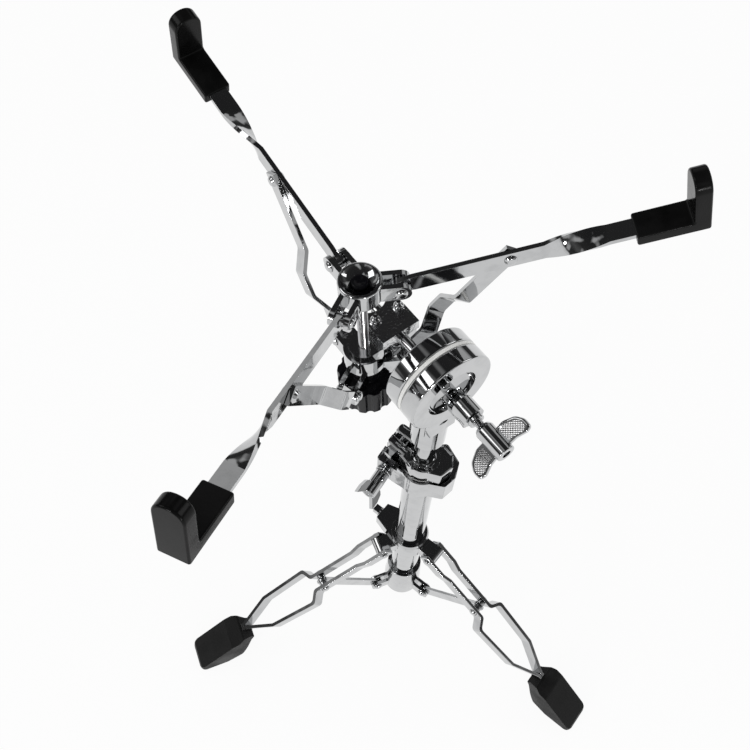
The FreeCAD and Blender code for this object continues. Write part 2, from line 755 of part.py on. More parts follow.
def wing_nut(label, stud, at, hub_r, hub_len, wing_low, wing_high, span, thick, turn):
    """Wing nut: local Z along its screw away from the work, wings along local X."""
    body = new_body("WingNut")
    hub = ring_sketch(body, [(0, 0, hub_r)])
    pad(body, hub, str(hub_len), centred=False)
    deep = wing_high - wing_low
    for sign in (1, -1):
        points = [(sign * hub_r * 0.5, wing_low), (sign * span * 0.62, wing_low + 0.4),
                  (sign * span * 0.84, wing_low + deep * 0.18),
                  (sign * span * 0.99, wing_low + deep * 0.62),
                  (sign * span * 0.97, wing_high + deep * 0.09),
                  (sign * hub_r * 0.5, min(wing_high, hub_len - 1.0))]
        wing = outline(body, points, plane="XZ_Plane", bend=2.2)
        pad(body, wing, str(thick))
    hole = ring_sketch(body, [(0, 0, stud + size("pin_play"))])
    pocket(body, hole, str(3 * hub_len), centred=True)
    node(label, body, at.multiply(azimuth(turn)))


CLAMP_WING_LOW = 11.0
CLAMP_WING_HIGH = 25.0
wing_nut("clamp_wing_nut", size("clamp_screw_radius"), screw_frame.multiply(place(z=clamp_nut_start)),
         size("clamp_nut_radius"), size("clamp_nut_length"), CLAMP_WING_LOW, CLAMP_WING_HIGH,
         size("clamp_nut_span"), size("clamp_nut_thick"), size("clamp_nut_turn"))

# Nylon bushing between the two tubes
upper_radius = size("upper_tube_diameter") / 2
BUSH_DEPTH = 36.0
bush_low = size("tube_top") - BUSH_DEPTH
bush_skin = doc.addObject("Part::Cylinder", "BushSkin")
bush_skin.Radius = size("tube_diameter") / 2 - size("tube_wall") - size("pin_play")
bush_skin.Height = BUSH_DEPTH
bush_skin.Placement = place(z=bush_low)
bush_flange = doc.addObject("Part::Cylinder", "BushFlange")
bush_flange.Radius = size("tube_diameter") / 2 + 0.9
bush_flange.Height = clamp_top - size("tube_top")
bush_flange.Placement = place(z=size("tube_top"))
bush_bore = doc.addObject("Part::Cylinder", "BushBore")
bush_bore.Radius = upper_radius + size("pin_play")
bush_bore.Height = clamp_top - bush_low
bush_bore.Placement = place(z=bush_low)
node("tube_bushing", cut(fuse(bush_skin, bush_flange), bush_bore))

# Upper tube
upper_low = size("socket_bottom") + size("socket_depth") - size("upper_tube_length")
upper_skin = cylinder("upper_tube_diameter / 2", "upper_tube_length", place(z=upper_low))
upper_hollow = cylinder("upper_tube_diameter / 2 - upper_tube_wall", "upper_tube_length", place(z=upper_low))
node("upper_tube", cut(upper_skin, upper_hollow))

# Memory lock: a split ring on the upper tube that rests on the height clamp
lock_low = clamp_top + size("running_gap")
lock_ring = cylinder("lock_radius", "lock_height", place(z=lock_low))
lock_body = new_body("LockCasting")
lock_face = outline(lock_body, [(-8.1, -11.7), (14.6, -13.7), (22.5, -5.0), (21.5, 5.0), (13.5, 11.5),
                                (3.0, 13.2), (-19.5, 24.9), (-28.2, 8.5)], bend=2.5)
pad(lock_body, lock_face, "lock_height - 2", centred=False)
lock_body.Placement = place(z=lock_low + 1.0)
lock_bore = cylinder("upper_tube_diameter / 2 + pin_play", "lock_height", place(z=lock_low))
LOCK_TURN = 146.0
LOCK_SLOT = 4.4
lock_slot = block("40", str(LOCK_SLOT), "lock_height + 2",
                  Placement(Vector(0, 0, lock_low - 1), Rotation(Z_AXIS, LOCK_TURN)).multiply(
                      place(y=-LOCK_SLOT / 2)))
LOCK_BOLT_X = 21.5
LOCK_FACE = 9.6
lock_frame = Placement(Vector(0, 0, lock_low + size("lock_height") / 2), Rotation(Z_AXIS, LOCK_TURN))
lock_bolt_frame = lock_frame.multiply(Placement(Vector(LOCK_BOLT_X, 0, 0), Rotation(X_AXIS, -90)))
LOCK_BOLT = 2.5
lock_bolt_hole = cylinder("pin_play + " + str(LOCK_BOLT), str(6 * LOCK_FACE),
                          lock_bolt_frame.multiply(place(z=-3 * LOCK_FACE)))
# Flat seats for the bolt's head and end
lock_seat = block("16", "16", "20", lock_bolt_frame.multiply(place(-8, -8, LOCK_FACE)))
node("memory_lock", cut(fuse(lock_ring, lock_body), lock_bore, lock_slot, lock_bolt_hole, lock_seat))
lock_bolt_shank = cylinder(str(LOCK_BOLT), str(2 * LOCK_FACE + 1), place(z=-LOCK_FACE - 1))
lock_bolt_head = block("6.4", "6.4", "6", place(-3.2, -3.2, LOCK_FACE))
node("memory_lock_bolt", fuse(lock_bolt_shank, lock_bolt_head), lock_bolt_frame)

# Tilter, front half: dished disc, boss and the split socket on the upper tube
half_ring = size("ring_thick") / 2
disc_start = half_ring + size("running_gap") / 2
disc = cylinder("tilter_radius", "tilter_half_width", place(z=disc_start))
disc = rounded(disc, size("tilter_round"), lambda edge: edge.Length > 4 * size("tilter_radius"))
dish_bend = (size("dish_radius") ** 2 + size("dish_depth") ** 2) / (2 * size("dish_depth"))
front_face = disc_start + size("tilter_half_width")
dish = doc.addObject("Part::Sphere", "Dish")
dish.Radius = dish_bend
dish.Placement = place(z=front_face + dish_bend - size("dish_depth"))
boss_start = front_face - size("dish_depth") - 1.0
boss = doc.addObject("Part::Cylinder", "Boss")
boss.Radius = size("tilter_boss_radius")
boss.Height = size("tilter_boss_end") - boss_start
boss.Placement = place(z=boss_start)
NECK_WIDTH = 21.0
socket_top = size("tilter_height") - size("tilter_radius") - 1.2
neck_low = size("socket_bottom") - size("tilter_height") + 26.0
neck = doc.addObject("Part::Box", "Neck")
neck.Length = NECK_WIDTH
neck.Width = -neck_low - size("dish_radius") - 1.0
neck.Height = size("tilter_half_width")
neck.Placement = place(-size("tilter_side_shift") - NECK_WIDTH / 2, neck_low, disc_start)
stud_hole = doc.addObject("Part::Cylinder", "StudHole")
stud_hole.Radius = size("tilter_stud_radius") + size("pin_play")
stud_hole.Height = 2 * size("tilter_boss_end")
front_disc = fuse(cut(disc, dish), boss, neck)
socket = doc.addObject("Part::Cylinder", "Socket")
socket.Radius = size("socket_radius")
socket.Height = socket_top - size("socket_bottom")
socket.Placement = place(z=size("socket_bottom"))
socket_foot = doc.addObject("Part::Cone", "SocketFoot")
socket_foot.Radius1 = size("socket_radius") - 1.8
socket_foot.Radius2 = size("socket_radius")
socket_foot.Height = 2.0
socket_foot.Placement = place(z=size("socket_bottom") - 2.0)
socket_bore = doc.addObject("Part::Cylinder", "SocketBore")
socket_bore.Radius = upper_radius
socket_bore.Height = size("socket_depth") + 2.0
socket_bore.Placement = place(z=size("socket_bottom") - 2.0)
socket_slit = doc.addObject("Part::Box", "SocketSlit")
SLIT_WIDTH = 2.0
SLIT_HEIGHT = 26.0
SLIT_AZIMUTH = -70.0
socket_slit.Length = 2.4 * size("socket_radius")
socket_slit.Width = SLIT_WIDTH
socket_slit.Height = SLIT_HEIGHT
socket_slit.Placement = Placement(Vector(0, 0, size("socket_bottom") - 2.0),
                                  Rotation(Z_AXIS, SLIT_AZIMUTH)).multiply(place(y=-SLIT_WIDTH / 2))
drilled = cut(front_disc, stud_hole)
drilled.Placement = tilter
node("tilter_front_half", cut(fuse(drilled, socket, socket_foot), socket_bore, socket_slit))

# Nylon friction ring between the halves
RING_HOLE = 9.0
friction_ring = cut(cylinder("tilter_radius - 0.2", "ring_thick", place(z=-half_ring)),
                    cylinder(str(RING_HOLE), "ring_thick", place(z=-half_ring)))
node("tilter_friction_ring", friction_ring, tilter)

# Tilter, rear half with the seat of the offset rod
rear_face = -half_ring - size("tilter_half_width") - size("running_gap") / 2
rear_disc = cylinder("tilter_radius", "tilter_half_width", place(z=rear_face))
rear_disc = rounded(rear_disc, size("tilter_round"), lambda edge: edge.Length > 4 * size("tilter_radius"))
REAR_BOSS = 4.0
rear_boss = cylinder("rod_radius + 4", str(REAR_BOSS), place(z=rear_face - REAR_BOSS))
ROD_SEAT = 3.0
rod_seat = cylinder("rod_radius", str(REAR_BOSS + ROD_SEAT), place(z=rear_face - REAR_BOSS))
BOLT_SQUARE = 9.0
# Round well that the square head turns in as the basket tilts
WELL_DEPTH = 5.1
well_radius = BOLT_SQUARE / math.sqrt(2) + size("running_gap") + size("pin_play")
bolt_well = cylinder(str(well_radius), str(WELL_DEPTH), place(z=-half_ring - WELL_DEPTH))
rear_stud_hole = cylinder("tilter_stud_radius + pin_play", "6", place(z=-half_ring - WELL_DEPTH))
node("tilter_rear_half", cut(fuse(rear_disc, rear_boss), rod_seat, bolt_well, rear_stud_hole), tilter)

# Tilter bolt: square head in the rear half, thread out through the boss into the wing nut
NUT_GAP = 8.0
nut_start = size("tilter_boss_end") + NUT_GAP
BOLT_END = 3.0
bolt_head = block(str(BOLT_SQUARE), str(BOLT_SQUARE), "4", place(-BOLT_SQUARE / 2, -BOLT_SQUARE / 2, -half_ring - 4.5))
bolt_shank = cylinder("tilter_stud_radius", str(nut_start + size("wing_hub_length") - BOLT_END + half_ring + 1),
                      place(z=-half_ring - 1))
node("tilter_bolt", fuse(bolt_head, bolt_shank), tilter)
wing_nut("tilter_wing_nut", size("tilter_stud_radius"), tilter.multiply(place(z=nut_start)),
         size("wing_hub_radius"), size("wing_hub_length"), size("wing_hub_length") * 0.32,
         size("wing_hub_length") * 0.955, size("wing_span"), size("wing_thick"), size("wing_turn"))
nut_washer = cut(cylinder("5.4", str(NUT_GAP - 4.6), place(z=size("tilter_boss_end") + 0.3)),
                 cylinder("tilter_stud_radius + pin_play", str(NUT_GAP - 4.6), place(z=size("tilter_boss_end") + 0.3)))
node("tilter_washer", nut_washer, tilter)

# Offset rod from the tilter to the bracket
rod_end = size("rod_reach") + size("plate_back") + 2.5
rod_start = -rear_face - ROD_SEAT
rod = cylinder("rod_radius", str(rod_end - rod_start), place(z=-rod_end))
node("offset_rod", rod, tilter)

# Bracket block and screw housing, one casting
seam = -size("rod_below_hub")
plate_y = size("plate_inner")
block_low = seam - size("block_drop")
housing_low = size("strut_collar_bottom") - 9.0
UNDERCUT = 2.6
casting = block("plate_front + plate_back + 1 - " + str(UNDERCUT), "plate_width", "block_drop",
                place(-size("plate_back") - 1, plate_y, block_low))
housing = doc.addObject("Part::Cylinder", "Housing")
housing.Radius = size("housing_radius")
housing.Height = seam - size("strut_collar_top") + (size("strut_collar_top") - size("strut_collar_bottom"))
housing.Placement = place(z=size("strut_collar_bottom"))
HOUSING_NECK = 8.4
housing_neck = doc.addObject("Part::Cylinder", "HousingNeck")
housing_neck.Radius = HOUSING_NECK
housing_neck.Height = size("strut_collar_bottom") - housing_low
housing_neck.Placement = place(z=housing_low)
housing_web = block("2 * housing_radius", "plate_inner + 1", "block_drop",
                    place(-size("housing_radius"), 0, block_low))
screw_bore = doc.addObject("Part::Cylinder", "ScrewBore")
screw_bore.Radius = size("rod_thread_radius") + size("running_gap")
screw_bore.Height = seam - housing_low
screw_bore.Placement = place(z=housing_low)
rod_groove = cylinder("rod_radius", "plate_front + plate_back + 40",
                      Placement(Vector(-size("plate_back") - 20, size("rod_side"), seam), Rotation(Y_AXIS, 90)))
bolt_spots = []
for sign in (1, -1):
    bolt_spots.append((-5.0, size("rod_side") + sign * size("bracket_bolt_spread") / 2))
casting_holes = []
for bolt_x, bolt_y in bolt_spots:
    casting_holes.append(cylinder("bracket_bolt_radius", "block_drop", place(bolt_x, bolt_y, block_low)))
node("bracket_casting",
     cut(fuse(casting, housing, housing_neck, housing_web), screw_bore, rod_groove, *casting_holes), basket)

# Top plate with the scallop that clears the hub
plate_body = new_body("TopPlate")
front = size("plate_front")
back = -size("plate_back")
plate_far = plate_y + size("plate_width")
plate_sketch = outline(plate_body, [(front, plate_y), (front, plate_far), (back + 8, plate_far),
                                    (back, plate_far - 3), (back, plate_y)])
pad(plate_body, plate_sketch, "plate_thick", centred=False)
scallop_x = back + size("scallop_depth") - size("scallop_radius")
scallop = ring_sketch(plate_body, [(scallop_x, plate_y + 13.0, size("scallop_radius"))])
pocket(plate_body, scallop, "2 * plate_thick + 10")
plate_drill = ring_sketch(plate_body, [(bx, by, size("bracket_bolt_radius")) for bx, by in bolt_spots])
pocket(plate_body, plate_drill, "2 * plate_thick + 10")
plate_body.Placement = place(z=seam)
plate_groove = cylinder("rod_radius", "plate_front + plate_back + 40",
                        Placement(Vector(-size("plate_back") - 20, size("rod_side"), seam), Rotation(Y_AXIS, 90)))
node("bracket_plate", cut(plate_body, plate_groove), basket)

# Two bracket bolts with hexagon nuts on top
NUT_HIGH = 3.4
STUD_RISE = 3.6
bracket_bolts = []
for bolt_x, bolt_y in bolt_spots:
    shank = cylinder("bracket_bolt_radius", "block_drop + plate_thick + " + str(NUT_HIGH + STUD_RISE),
                     place(bolt_x, bolt_y, block_low))
    nut = doc.addObject("Part::Prism", "HexNut")
    nut.Polygon = 6
    nut.Circumradius = 2 * size("bracket_bolt_radius")
    nut.Height = NUT_HIGH
    nut.Placement = place(bolt_x, bolt_y, seam + size("plate_thick"))
    head = cylinder("1.25 * bracket_bolt_radius", "1.6", place(bolt_x, bolt_y, block_low - 1.6))
    bracket_bolts.append(fuse(shank, nut, head))
node("bracket_bolts", group(*bracket_bolts), basket)

# Collar with three clevises that carries the struts, fixed round the housing
arm_outer = ARM_SHIFT + size("arm_thick") / 2
strut_inner = arm_outer + size("running_gap")
strut_gap = size("pivot_gap") + 1.0
strut_plane = strut_inner + size("strut_thick") + size("running_gap") - strut_gap / 2
ear_low = size("strut_pivot_height") - size("ear_reach")
EAR_TOP = 8.0
strut_ring = doc.addObject("Part::Cylinder", "StrutRing")
strut_ring.Radius = size("strut_collar_radius")
strut_ring.Height = size("strut_collar_top") - size("strut_collar_bottom")
strut_ring.Placement = place(z=size("strut_collar_bottom"))
strut_parts = [strut_ring]
strut_holes = []
for side, turn in ARMS.items():
    ears, hole = clevis(size("strut_pivot_radius"), size("strut_pivot_height"), size("housing_radius") + 0.5,
                        strut_gap, size("pivot_ear_thick"), size("pivot_pin_radius") + size("pin_play"),
                        size("ear_reach"), -size("ear_reach"), EAR_TOP)
    for item in ears + [hole]:
        shifted = place(y=strut_plane).multiply(item.Placement)
        item.Placement = azimuth(turn + size("basket_turn")).multiply(shifted)
    strut_parts.extend(ears)
    strut_holes.append(hole)
ring_bore = doc.addObject("Part::Cylinder", "RingBore")
ring_bore.Radius = size("housing_radius")
BORE_MARGIN = 12.0
ring_bore.Height = size("strut_collar_top") - size("strut_collar_bottom") + 2 * BORE_MARGIN
ring_bore.Placement = place(z=size("strut_collar_bottom") - BORE_MARGIN)
room_for_block = block("plate_front + plate_back + 40", "plate_width + 20", "block_drop + 30",
                       place(-size("plate_back") - 20, 0.0, block_low - 2.0))
node("strut_collar", cut(fuse(*strut_parts), ring_bore, room_for_block, *strut_holes), basket)
collar_rivets = []
for side, turn in ARMS.items():
    pin = rivet(size("pivot_pin_radius"), strut_gap + 2 * size("pivot_ear_thick"),
                size("rivet_head_radius"), size("rivet_head_high"))
    spot = place(size("strut_pivot_radius"), strut_plane, size("strut_pivot_height"))
    pin.Placement = azimuth(turn + size("basket_turn")).multiply(spot)
    collar_rivets.append(pin)
node("strut_collar_rivets", group(*collar_rivets), basket)

# Hub with its dished top and three clevises
hub_body = doc.addObject("Part::Cylinder", "HubBody")
hub_body.Radius = size("hub_radius")
hub_body.Height = size("hub_top") - size("hub_bottom")
hub_body.Placement = place(z=size("hub_bottom"))
hub_body = rounded(hub_body, 1.6, lambda edge: edge.Length > 4 * size("hub_radius"))
HUB_DISH = 5.0
hub_dish_r = size("hub_radius") - 2.2
hub_bend = (hub_dish_r ** 2 + HUB_DISH ** 2) / (2 * HUB_DISH)
hub_dish = doc.addObject("Part::Sphere", "HubDish")
hub_dish.Radius = hub_bend
hub_dish.Placement = place(z=size("hub_top") + hub_bend - HUB_DISH)
hub_gap = size("pivot_gap")
arm_plane = ARM_SHIFT
hub_parts = [cut(hub_body, hub_dish)]
hub_holes = []
for side, turn in ARMS.items():
    ears, hole = clevis(size("hub_pivot_radius"), 0.0, size("hub_radius") - 4.0, hub_gap, size("pivot_ear_thick"),
                        size("pivot_pin_radius") + size("pin_play"), size("ear_reach"),
                        -size("ear_reach"), size("ear_reach"))
    for item in ears + [hole]:
        shifted = place(y=arm_plane).multiply(item.Placement)
        item.Placement = azimuth(turn + size("basket_turn")).multiply(shifted)
    hub_parts.extend(ears)
    hub_holes.append(hole)
hub_thread = doc.addObject("Part::Cylinder", "HubThread")
hub_thread.Radius = size("rod_thread_radius")
hub_thread.Height = size("hub_top") - size("hub_bottom")
hub_thread.Placement = place(z=size("hub_bottom"))
node("basket_hub", cut(fuse(*hub_parts), hub_thread, *hub_holes), basket)
hub_rivets = []
for side, turn in ARMS.items():
    pin = rivet(size("pivot_pin_radius"), hub_gap + 2 * size("pivot_ear_thick"),
                size("rivet_head_radius"), size("rivet_head_high"))
    pin.Placement = azimuth(turn + size("basket_turn")).multiply(place(size("hub_pivot_radius"), arm_plane, 0))
    hub_rivets.append(pin)
node("hub_rivets", group(*hub_rivets), basket)

# Threaded centre rod and the black cap in the dish
CAP_HIGH = 2.2
rod_top = size("hub_top") - HUB_DISH + 1.4
centre_rod = doc.addObject("Part::Cylinder", "CentreRod")
centre_rod.Radius = size("rod_thread_radius")
centre_rod.Height = rod_top - size("thread_end")
centre_rod.Placement = place(z=size("thread_end"))
node("basket_screw", centre_rod, basket)
cap_disc = cylinder("cap_radius", str(CAP_HIGH), place(z=rod_top))
node("hub_cap", cap_disc, basket)


def basket_arm(side):
    """Strap on edge with a barrel in the hub; it twists a quarter turn before the grip."""
    body = new_body("Arm")
    thick = size("arm_thick")
    half = size("arm_width") / 2
    barrel_r = size("pivot_barrel_radius")
    barrel = ring_sketch(body, [(0, 0, barrel_r)], plane="XZ_Plane")
    pad(body, barrel, "pivot_gap - 2 * running_gap")
    bar = outline(body, [(0, -barrel_r), (barrel_r + 3, -half), (size("arm_twist_start"), -half),
                         (size("arm_twist_start"), half), (barrel_r + 3, half), (0, barrel_r)], plane="XZ_Plane")
    pad(body, bar, "arm_thick")
    doc.recompute()
    span = size("arm_twist_end") - size("arm_twist_start")
    steps = 7
    sections = []
    for step in range(steps):
        section = body.newObject("Sketcher::SketchObject", "Twist")
        section.AttachmentSupport = [(plane_of(body, "YZ_Plane"), "")]
        section.MapMode = "FlatFace"
        along = size("arm_twist_start") + span * step / (steps - 1)
        turn = -90.0 * step / (steps - 1)
        section.AttachmentOffset = Placement(Vector(0, 0, along), Rotation(Z_AXIS, turn))
        corners = [Vector(-thick / 2, -half, 0), Vector(thick / 2, -half, 0),
                   Vector(thick / 2, half, 0), Vector(-thick / 2, half, 0)]
        for index in range(4):
            section.addGeometry(Part.LineSegment(corners[index], corners[(index + 1) % 4]), False)
        sections.append(section)
    twist = body.newObject("PartDesign::AdditiveLoft", "TwistLoft")
    twist.Profile = sections[0]
    twist.Sections = sections[1:]
    flat = outline(body, [(size("arm_twist_end"), -half), (size("arm_length"), -half),
                          (size("arm_length"), half), (size("arm_twist_end"), half)])
    pad(body, flat, "arm_thick")
    holes = ring_sketch(body, [(0, 0, size("pivot_pin_radius") + size("pin_play")),
                               (size("strut_pivot_on_arm"), 0, size("pivot_pin_radius"))], plane="XZ_Plane")
    pocket(body, holes, "8 * arm_thick")
    node(side + "_arm", body, arm_frame(side))


def arm_rivet(side):
    """Rivet that holds the strut on the arm: its head on the arm's outer face."""
    shank = doc.addObject("Part::Cylinder", "Shank")
    shank.Radius = size("pivot_pin_radius")
    shank.Height = size("arm_thick")
    shank.Placement = Placement(Vector(0, size("arm_thick") / 2, 0), Rotation(X_AXIS, 90))
    head = rivet_head(size("pivot_pin_radius"), -size("arm_thick") / 2, -1,
                      size("rivet_head_radius"), size("rivet_head_high"))
    piece = fuse(shank, head)
    piece.Placement = place(x=size("strut_pivot_on_arm"))
    node(side + "_arm_rivet", piece, arm_frame(side))


def strut_run():
    rise = math.radians(size("arm_rise"))
    start = Vector(size("strut_pivot_radius"), 0, size("strut_pivot_height"))
    end = Vector(size("hub_pivot_radius") + size("strut_pivot_on_arm") * math.cos(rise), 0,
                 size("strut_pivot_on_arm") * math.sin(rise))
    return start, end - start


# Where each strut starts to bow sideways, where the bow is full, and how far it reaches
STRUT_BOWS = {"rear": (0.20, 0.33, 7.4), "right": (0.27, 0.37, 10.5), "front": (0.20, 0.33, 10.0)}


def strut(side):
    """Strap from the lower collar to the arm, bowed sideways round the bracket."""
    start, run = strut_run()
    length = run.Length
    angle = math.degrees(math.atan2(run.z, run.x))
    near = strut_inner
    thick = size("strut_thick")
    half = size("strut_width") / 2
    bow_start, bow_full, bow = STRUT_BOWS[side]
    path = [(-half + 1, near), (length * bow_start, near), (length * bow_full, near + bow),
            (length * 0.47, near + bow),
            (length * 0.585, near), (length + half - 1, near)]
    body = new_body("Strut")
    profile = outline(body, strap_outline(path, thick, 5.0), bend=5.0)
    pad(body, profile, "strut_width")
    barrel = ring_sketch(body, [(0, 0, size("pivot_barrel_radius"))], plane="XZ_Plane")
    barrel.AttachmentOffset = place(z=-near - thick / 2)
    pad(body, barrel, "strut_thick / 2 + pivot_gap + 1.0 - 2 * running_gap - strut_thick", centred=False)
    hole = ring_sketch(body, [(0, 0, size("pivot_pin_radius") + size("pin_play"))], plane="XZ_Plane")
    pocket(body, hole, "30")
    doc.recompute()
    button = rivet_head(size("pivot_pin_radius"), near + thick, 1, size("rivet_head_radius"), size("rivet_head_high"))
    button.Placement = place(x=length).multiply(button.Placement)
    turn = azimuth(ARMS[side] + size("basket_turn"))
    frame = basket.multiply(turn).multiply(place(start.x, 0, start.z, Y_AXIS, -angle))
    node(side + "_strut", fuse(body, button), frame)


def grip(side):
    """Moulded L-shaped grip: a base round the arm's end and an upright with a rounded top."""
    thick = size("arm_thick")
    body = new_body("Grip")
    low = -size("grip_base_bottom")
    start = size("grip_base_start")
    face = size("grip_face")
    outer = size("grip_outer")
    side_view = outline(body, [(start, low), (outer, low), (outer, size("grip_upright") - 3.5),
                               (outer - 2.5, size("grip_upright")), (face, size("grip_upright") - 1.5),
                               (face, size("grip_base_top")), (start, size("grip_base_top"))],
                        plane="XZ_Plane", bend=1.5)
    pad(body, side_view, "grip_width")
    half = size("grip_width") / 2
    crown = size("grip_upright")
    for sign in (1, -1):
        corner = outline(body, [(sign * (half + 0.2), crown - 9), (sign * (half + 0.2), crown + 1),
                                (sign * (half - 8), crown + 1), (sign * (half - 3.0), crown - 2.6)],
                         plane="YZ_Plane")
        pocket(body, corner, "3 * grip_outer")
    doc.recompute()
    play = size("pin_play")
    slot = doc.addObject("Part::Box", "ArmSlot")
    slot.Length = size("arm_length") - start + play + 1
    slot.Width = size("arm_width") + 2 * play
    slot.Height = thick + 2 * play
    slot.Placement = place(start - 1, -size("arm_width") / 2 - play, -thick / 2 - play)
    node(side + "_grip", cut(body, slot), arm_frame(side))


for arm_side in ARMS:
    basket_arm(arm_side)
    arm_rivet(arm_side)
    strut(arm_side)
    grip(arm_side)

# Fluted knob under the collar
knob_body = new_body("Knob")
knob_disc = ring_sketch(knob_body, [(0, 0, size("knob_radius"))])
pad(knob_body, knob_disc, "knob_height", centred=False, reverse=True)
doc.recompute()
flute = ring_sketch(knob_body, [(size("knob_radius") + size("knob_flute_radius") - 1.5, 0,
                                 size("knob_flute_radius"))])
flute_cut = pocket(knob_body, flute, "2 * knob_height + 20")
doc.recompute()
flutes = knob_body.newObject("PartDesign::PolarPattern", "Flutes")
flutes.Originals = [flute_cut]
for feature in knob_body.Origin.OriginFeatures:
    if feature.Role == "Z_Axis":
        flutes.Axis = (feature, [""])
flutes.Angle = 360
flutes.Occurrences = int(size("knob_flutes"))
knob_body.Tip = flutes
doc.recompute()
knob_body.Placement = place(z=size("knob_top"))
KNOB_NECK = housing_low - 1.6 - size("running_gap") - size("knob_top")
knob_neck = doc.addObject("Part::Cylinder", "KnobNeck")
knob_neck.Radius = HOUSING_NECK + 1.0
knob_neck.Height = KNOB_NECK
knob_neck.Placement = place(z=size("knob_top"))
knob_bore = doc.addObject("Part::Cylinder", "KnobBore")
knob_bore.Radius = size("rod_thread_radius") + size("pin_play")
knob_bore.Height = size("knob_height") + KNOB_NECK
knob_bore.Placement = place(z=size("knob_top") - size("knob_height"))
node("basket_knob", cut(fuse(knob_body, knob_neck), knob_bore), basket)
knob_washer = cut(cylinder(str(HOUSING_NECK), "1.3", place(z=housing_low - 1.45)),
                  cylinder("rod_thread_radius + running_gap", "1.3", place(z=housing_low - 1.45)))
node("knob_washer", knob_washer, basket)

doc.recompute()

problems = []
for item in doc.Objects:
    if "Invalid" in item.State or "Error" in item.State:
        problems.append(item.Name + " " + ",".join(item.State))
for label, item in nodes.items():
    shape = item.Shape
    if shape.isNull() or not shape.isValid() or not shape.Solids:
        problems.append(label + " has no valid solid")
if problems:
    raise RuntimeError("; ".join(problems))

os.makedirs("parts", exist_ok=True)
for label, item in nodes.items():
    item.Shape.exportStep("parts/" + label + ".step")
print(len(nodes), "nodes")
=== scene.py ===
import json
import logging
import math
from dataclasses import dataclass, field
from enum import Enum

import bpy
from mathutils import Matrix, Vector

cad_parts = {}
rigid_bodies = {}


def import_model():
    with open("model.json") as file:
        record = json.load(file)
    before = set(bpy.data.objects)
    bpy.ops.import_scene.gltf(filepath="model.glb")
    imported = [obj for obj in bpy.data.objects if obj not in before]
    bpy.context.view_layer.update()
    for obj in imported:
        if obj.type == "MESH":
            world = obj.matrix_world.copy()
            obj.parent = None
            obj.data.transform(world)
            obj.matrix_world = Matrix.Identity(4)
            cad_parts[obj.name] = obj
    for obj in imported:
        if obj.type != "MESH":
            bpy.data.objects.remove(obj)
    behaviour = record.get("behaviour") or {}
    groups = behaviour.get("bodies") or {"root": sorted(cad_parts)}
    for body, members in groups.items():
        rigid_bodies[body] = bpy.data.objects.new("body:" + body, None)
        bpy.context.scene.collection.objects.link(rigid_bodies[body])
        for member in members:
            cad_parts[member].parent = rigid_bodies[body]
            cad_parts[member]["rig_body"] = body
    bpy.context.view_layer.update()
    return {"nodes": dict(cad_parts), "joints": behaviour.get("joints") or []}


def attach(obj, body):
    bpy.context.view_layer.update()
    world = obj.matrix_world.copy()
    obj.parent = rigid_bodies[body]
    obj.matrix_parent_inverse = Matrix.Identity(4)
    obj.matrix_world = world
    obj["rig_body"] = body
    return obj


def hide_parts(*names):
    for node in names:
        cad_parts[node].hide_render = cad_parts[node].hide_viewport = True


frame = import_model()

LOG = logging.getLogger("drum_stand")
MM = 0.001
TINY = 0.00001

Point = tuple[float, float]
Corner = tuple[float, float, float]
Colour = tuple[float, float, float]
Piece = bpy.types.Object
Tree = bpy.types.NodeTree


class Slot(Enum):
    """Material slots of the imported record."""

    CHROME = "chrome"
    RUBBER = "foot_rubber"
    GRIP = "grip_black"
    PLASTIC = "black_plastic"
    NYLON = "nylon_white"


class Side(Enum):
    """Names of the three legs and the three basket arms."""

    LEFT = "left"
    RIGHT = "right"
    REAR = "rear"
    FRONT = "front"


LEGS = (Side.LEFT, Side.RIGHT, Side.REAR)
ARMS = (Side.REAR, Side.RIGHT, Side.FRONT)


# Places read from the frame's joints

JOINTS = {joint["name"]: joint for joint in frame["joints"]}


def pivot(name: str) -> Vector:
    """Point on the axis of a joint, in metres."""
    return Vector(JOINTS[name]["pos_m"])


def axis(name: str) -> Vector:
    """Unit direction of a joint's axis."""
    return Vector(JOINTS[name]["axis"]).normalized()


def upright(origin: Vector, along: Vector, across: Vector) -> Matrix:
    """Frame with its X along one direction and its Y along another.

    Args:
        origin: Where the frame's zero point lies.
        along: Direction of local X.
        across: Direction of local Y, at right angles to X.

    Returns:
        The frame as a matrix, its Z at right angles to both.
    """
    turn = Matrix((along, across, along.cross(across))).transposed().to_4x4()
    return Matrix.Translation(origin) @ turn


def tilter_frame() -> Matrix:
    """Frame of the tilter: Z along the tilting axis to the wing nut, Y up."""
    out = axis("basket_tilt")
    side = Vector((0, 0, 1)).cross(out).normalized()
    return upright(pivot("basket_tilt"), side, out.cross(side))


def basket_frame() -> Matrix:
    """Frame of the basket: Z up its screw, X along the offset rod."""
    centre = sum((pivot(f"{side.value}_arm_lift") for side in ARMS), Vector()) / len(ARMS)
    up = axis("knob_turn")
    along = axis("basket_tilt")
    along = (along - up * along.dot(up)).normalized()
    return upright(centre, along, up.cross(along))


def arm_frame(side: Side, rise: float) -> Matrix:
    """Frame of one basket arm: X out along the arm from its pivot, Y across it.

    Args:
        side: Which arm.
        rise: Angle of the arm above the basket's plane, in radians.

    Returns:
        The frame, its zero point on the arm's pivot.
    """
    basket = basket_frame()
    up = basket.col[2].to_3d()
    start = pivot(f"{side.value}_arm_lift")
    across = axis(f"{side.value}_arm_lift")
    spoke = start - basket.translation
    out = (spoke - across * spoke.dot(across) - up * spoke.dot(up)).normalized()
    return upright(start, out * math.cos(rise) + up * math.sin(rise), up.cross(out))


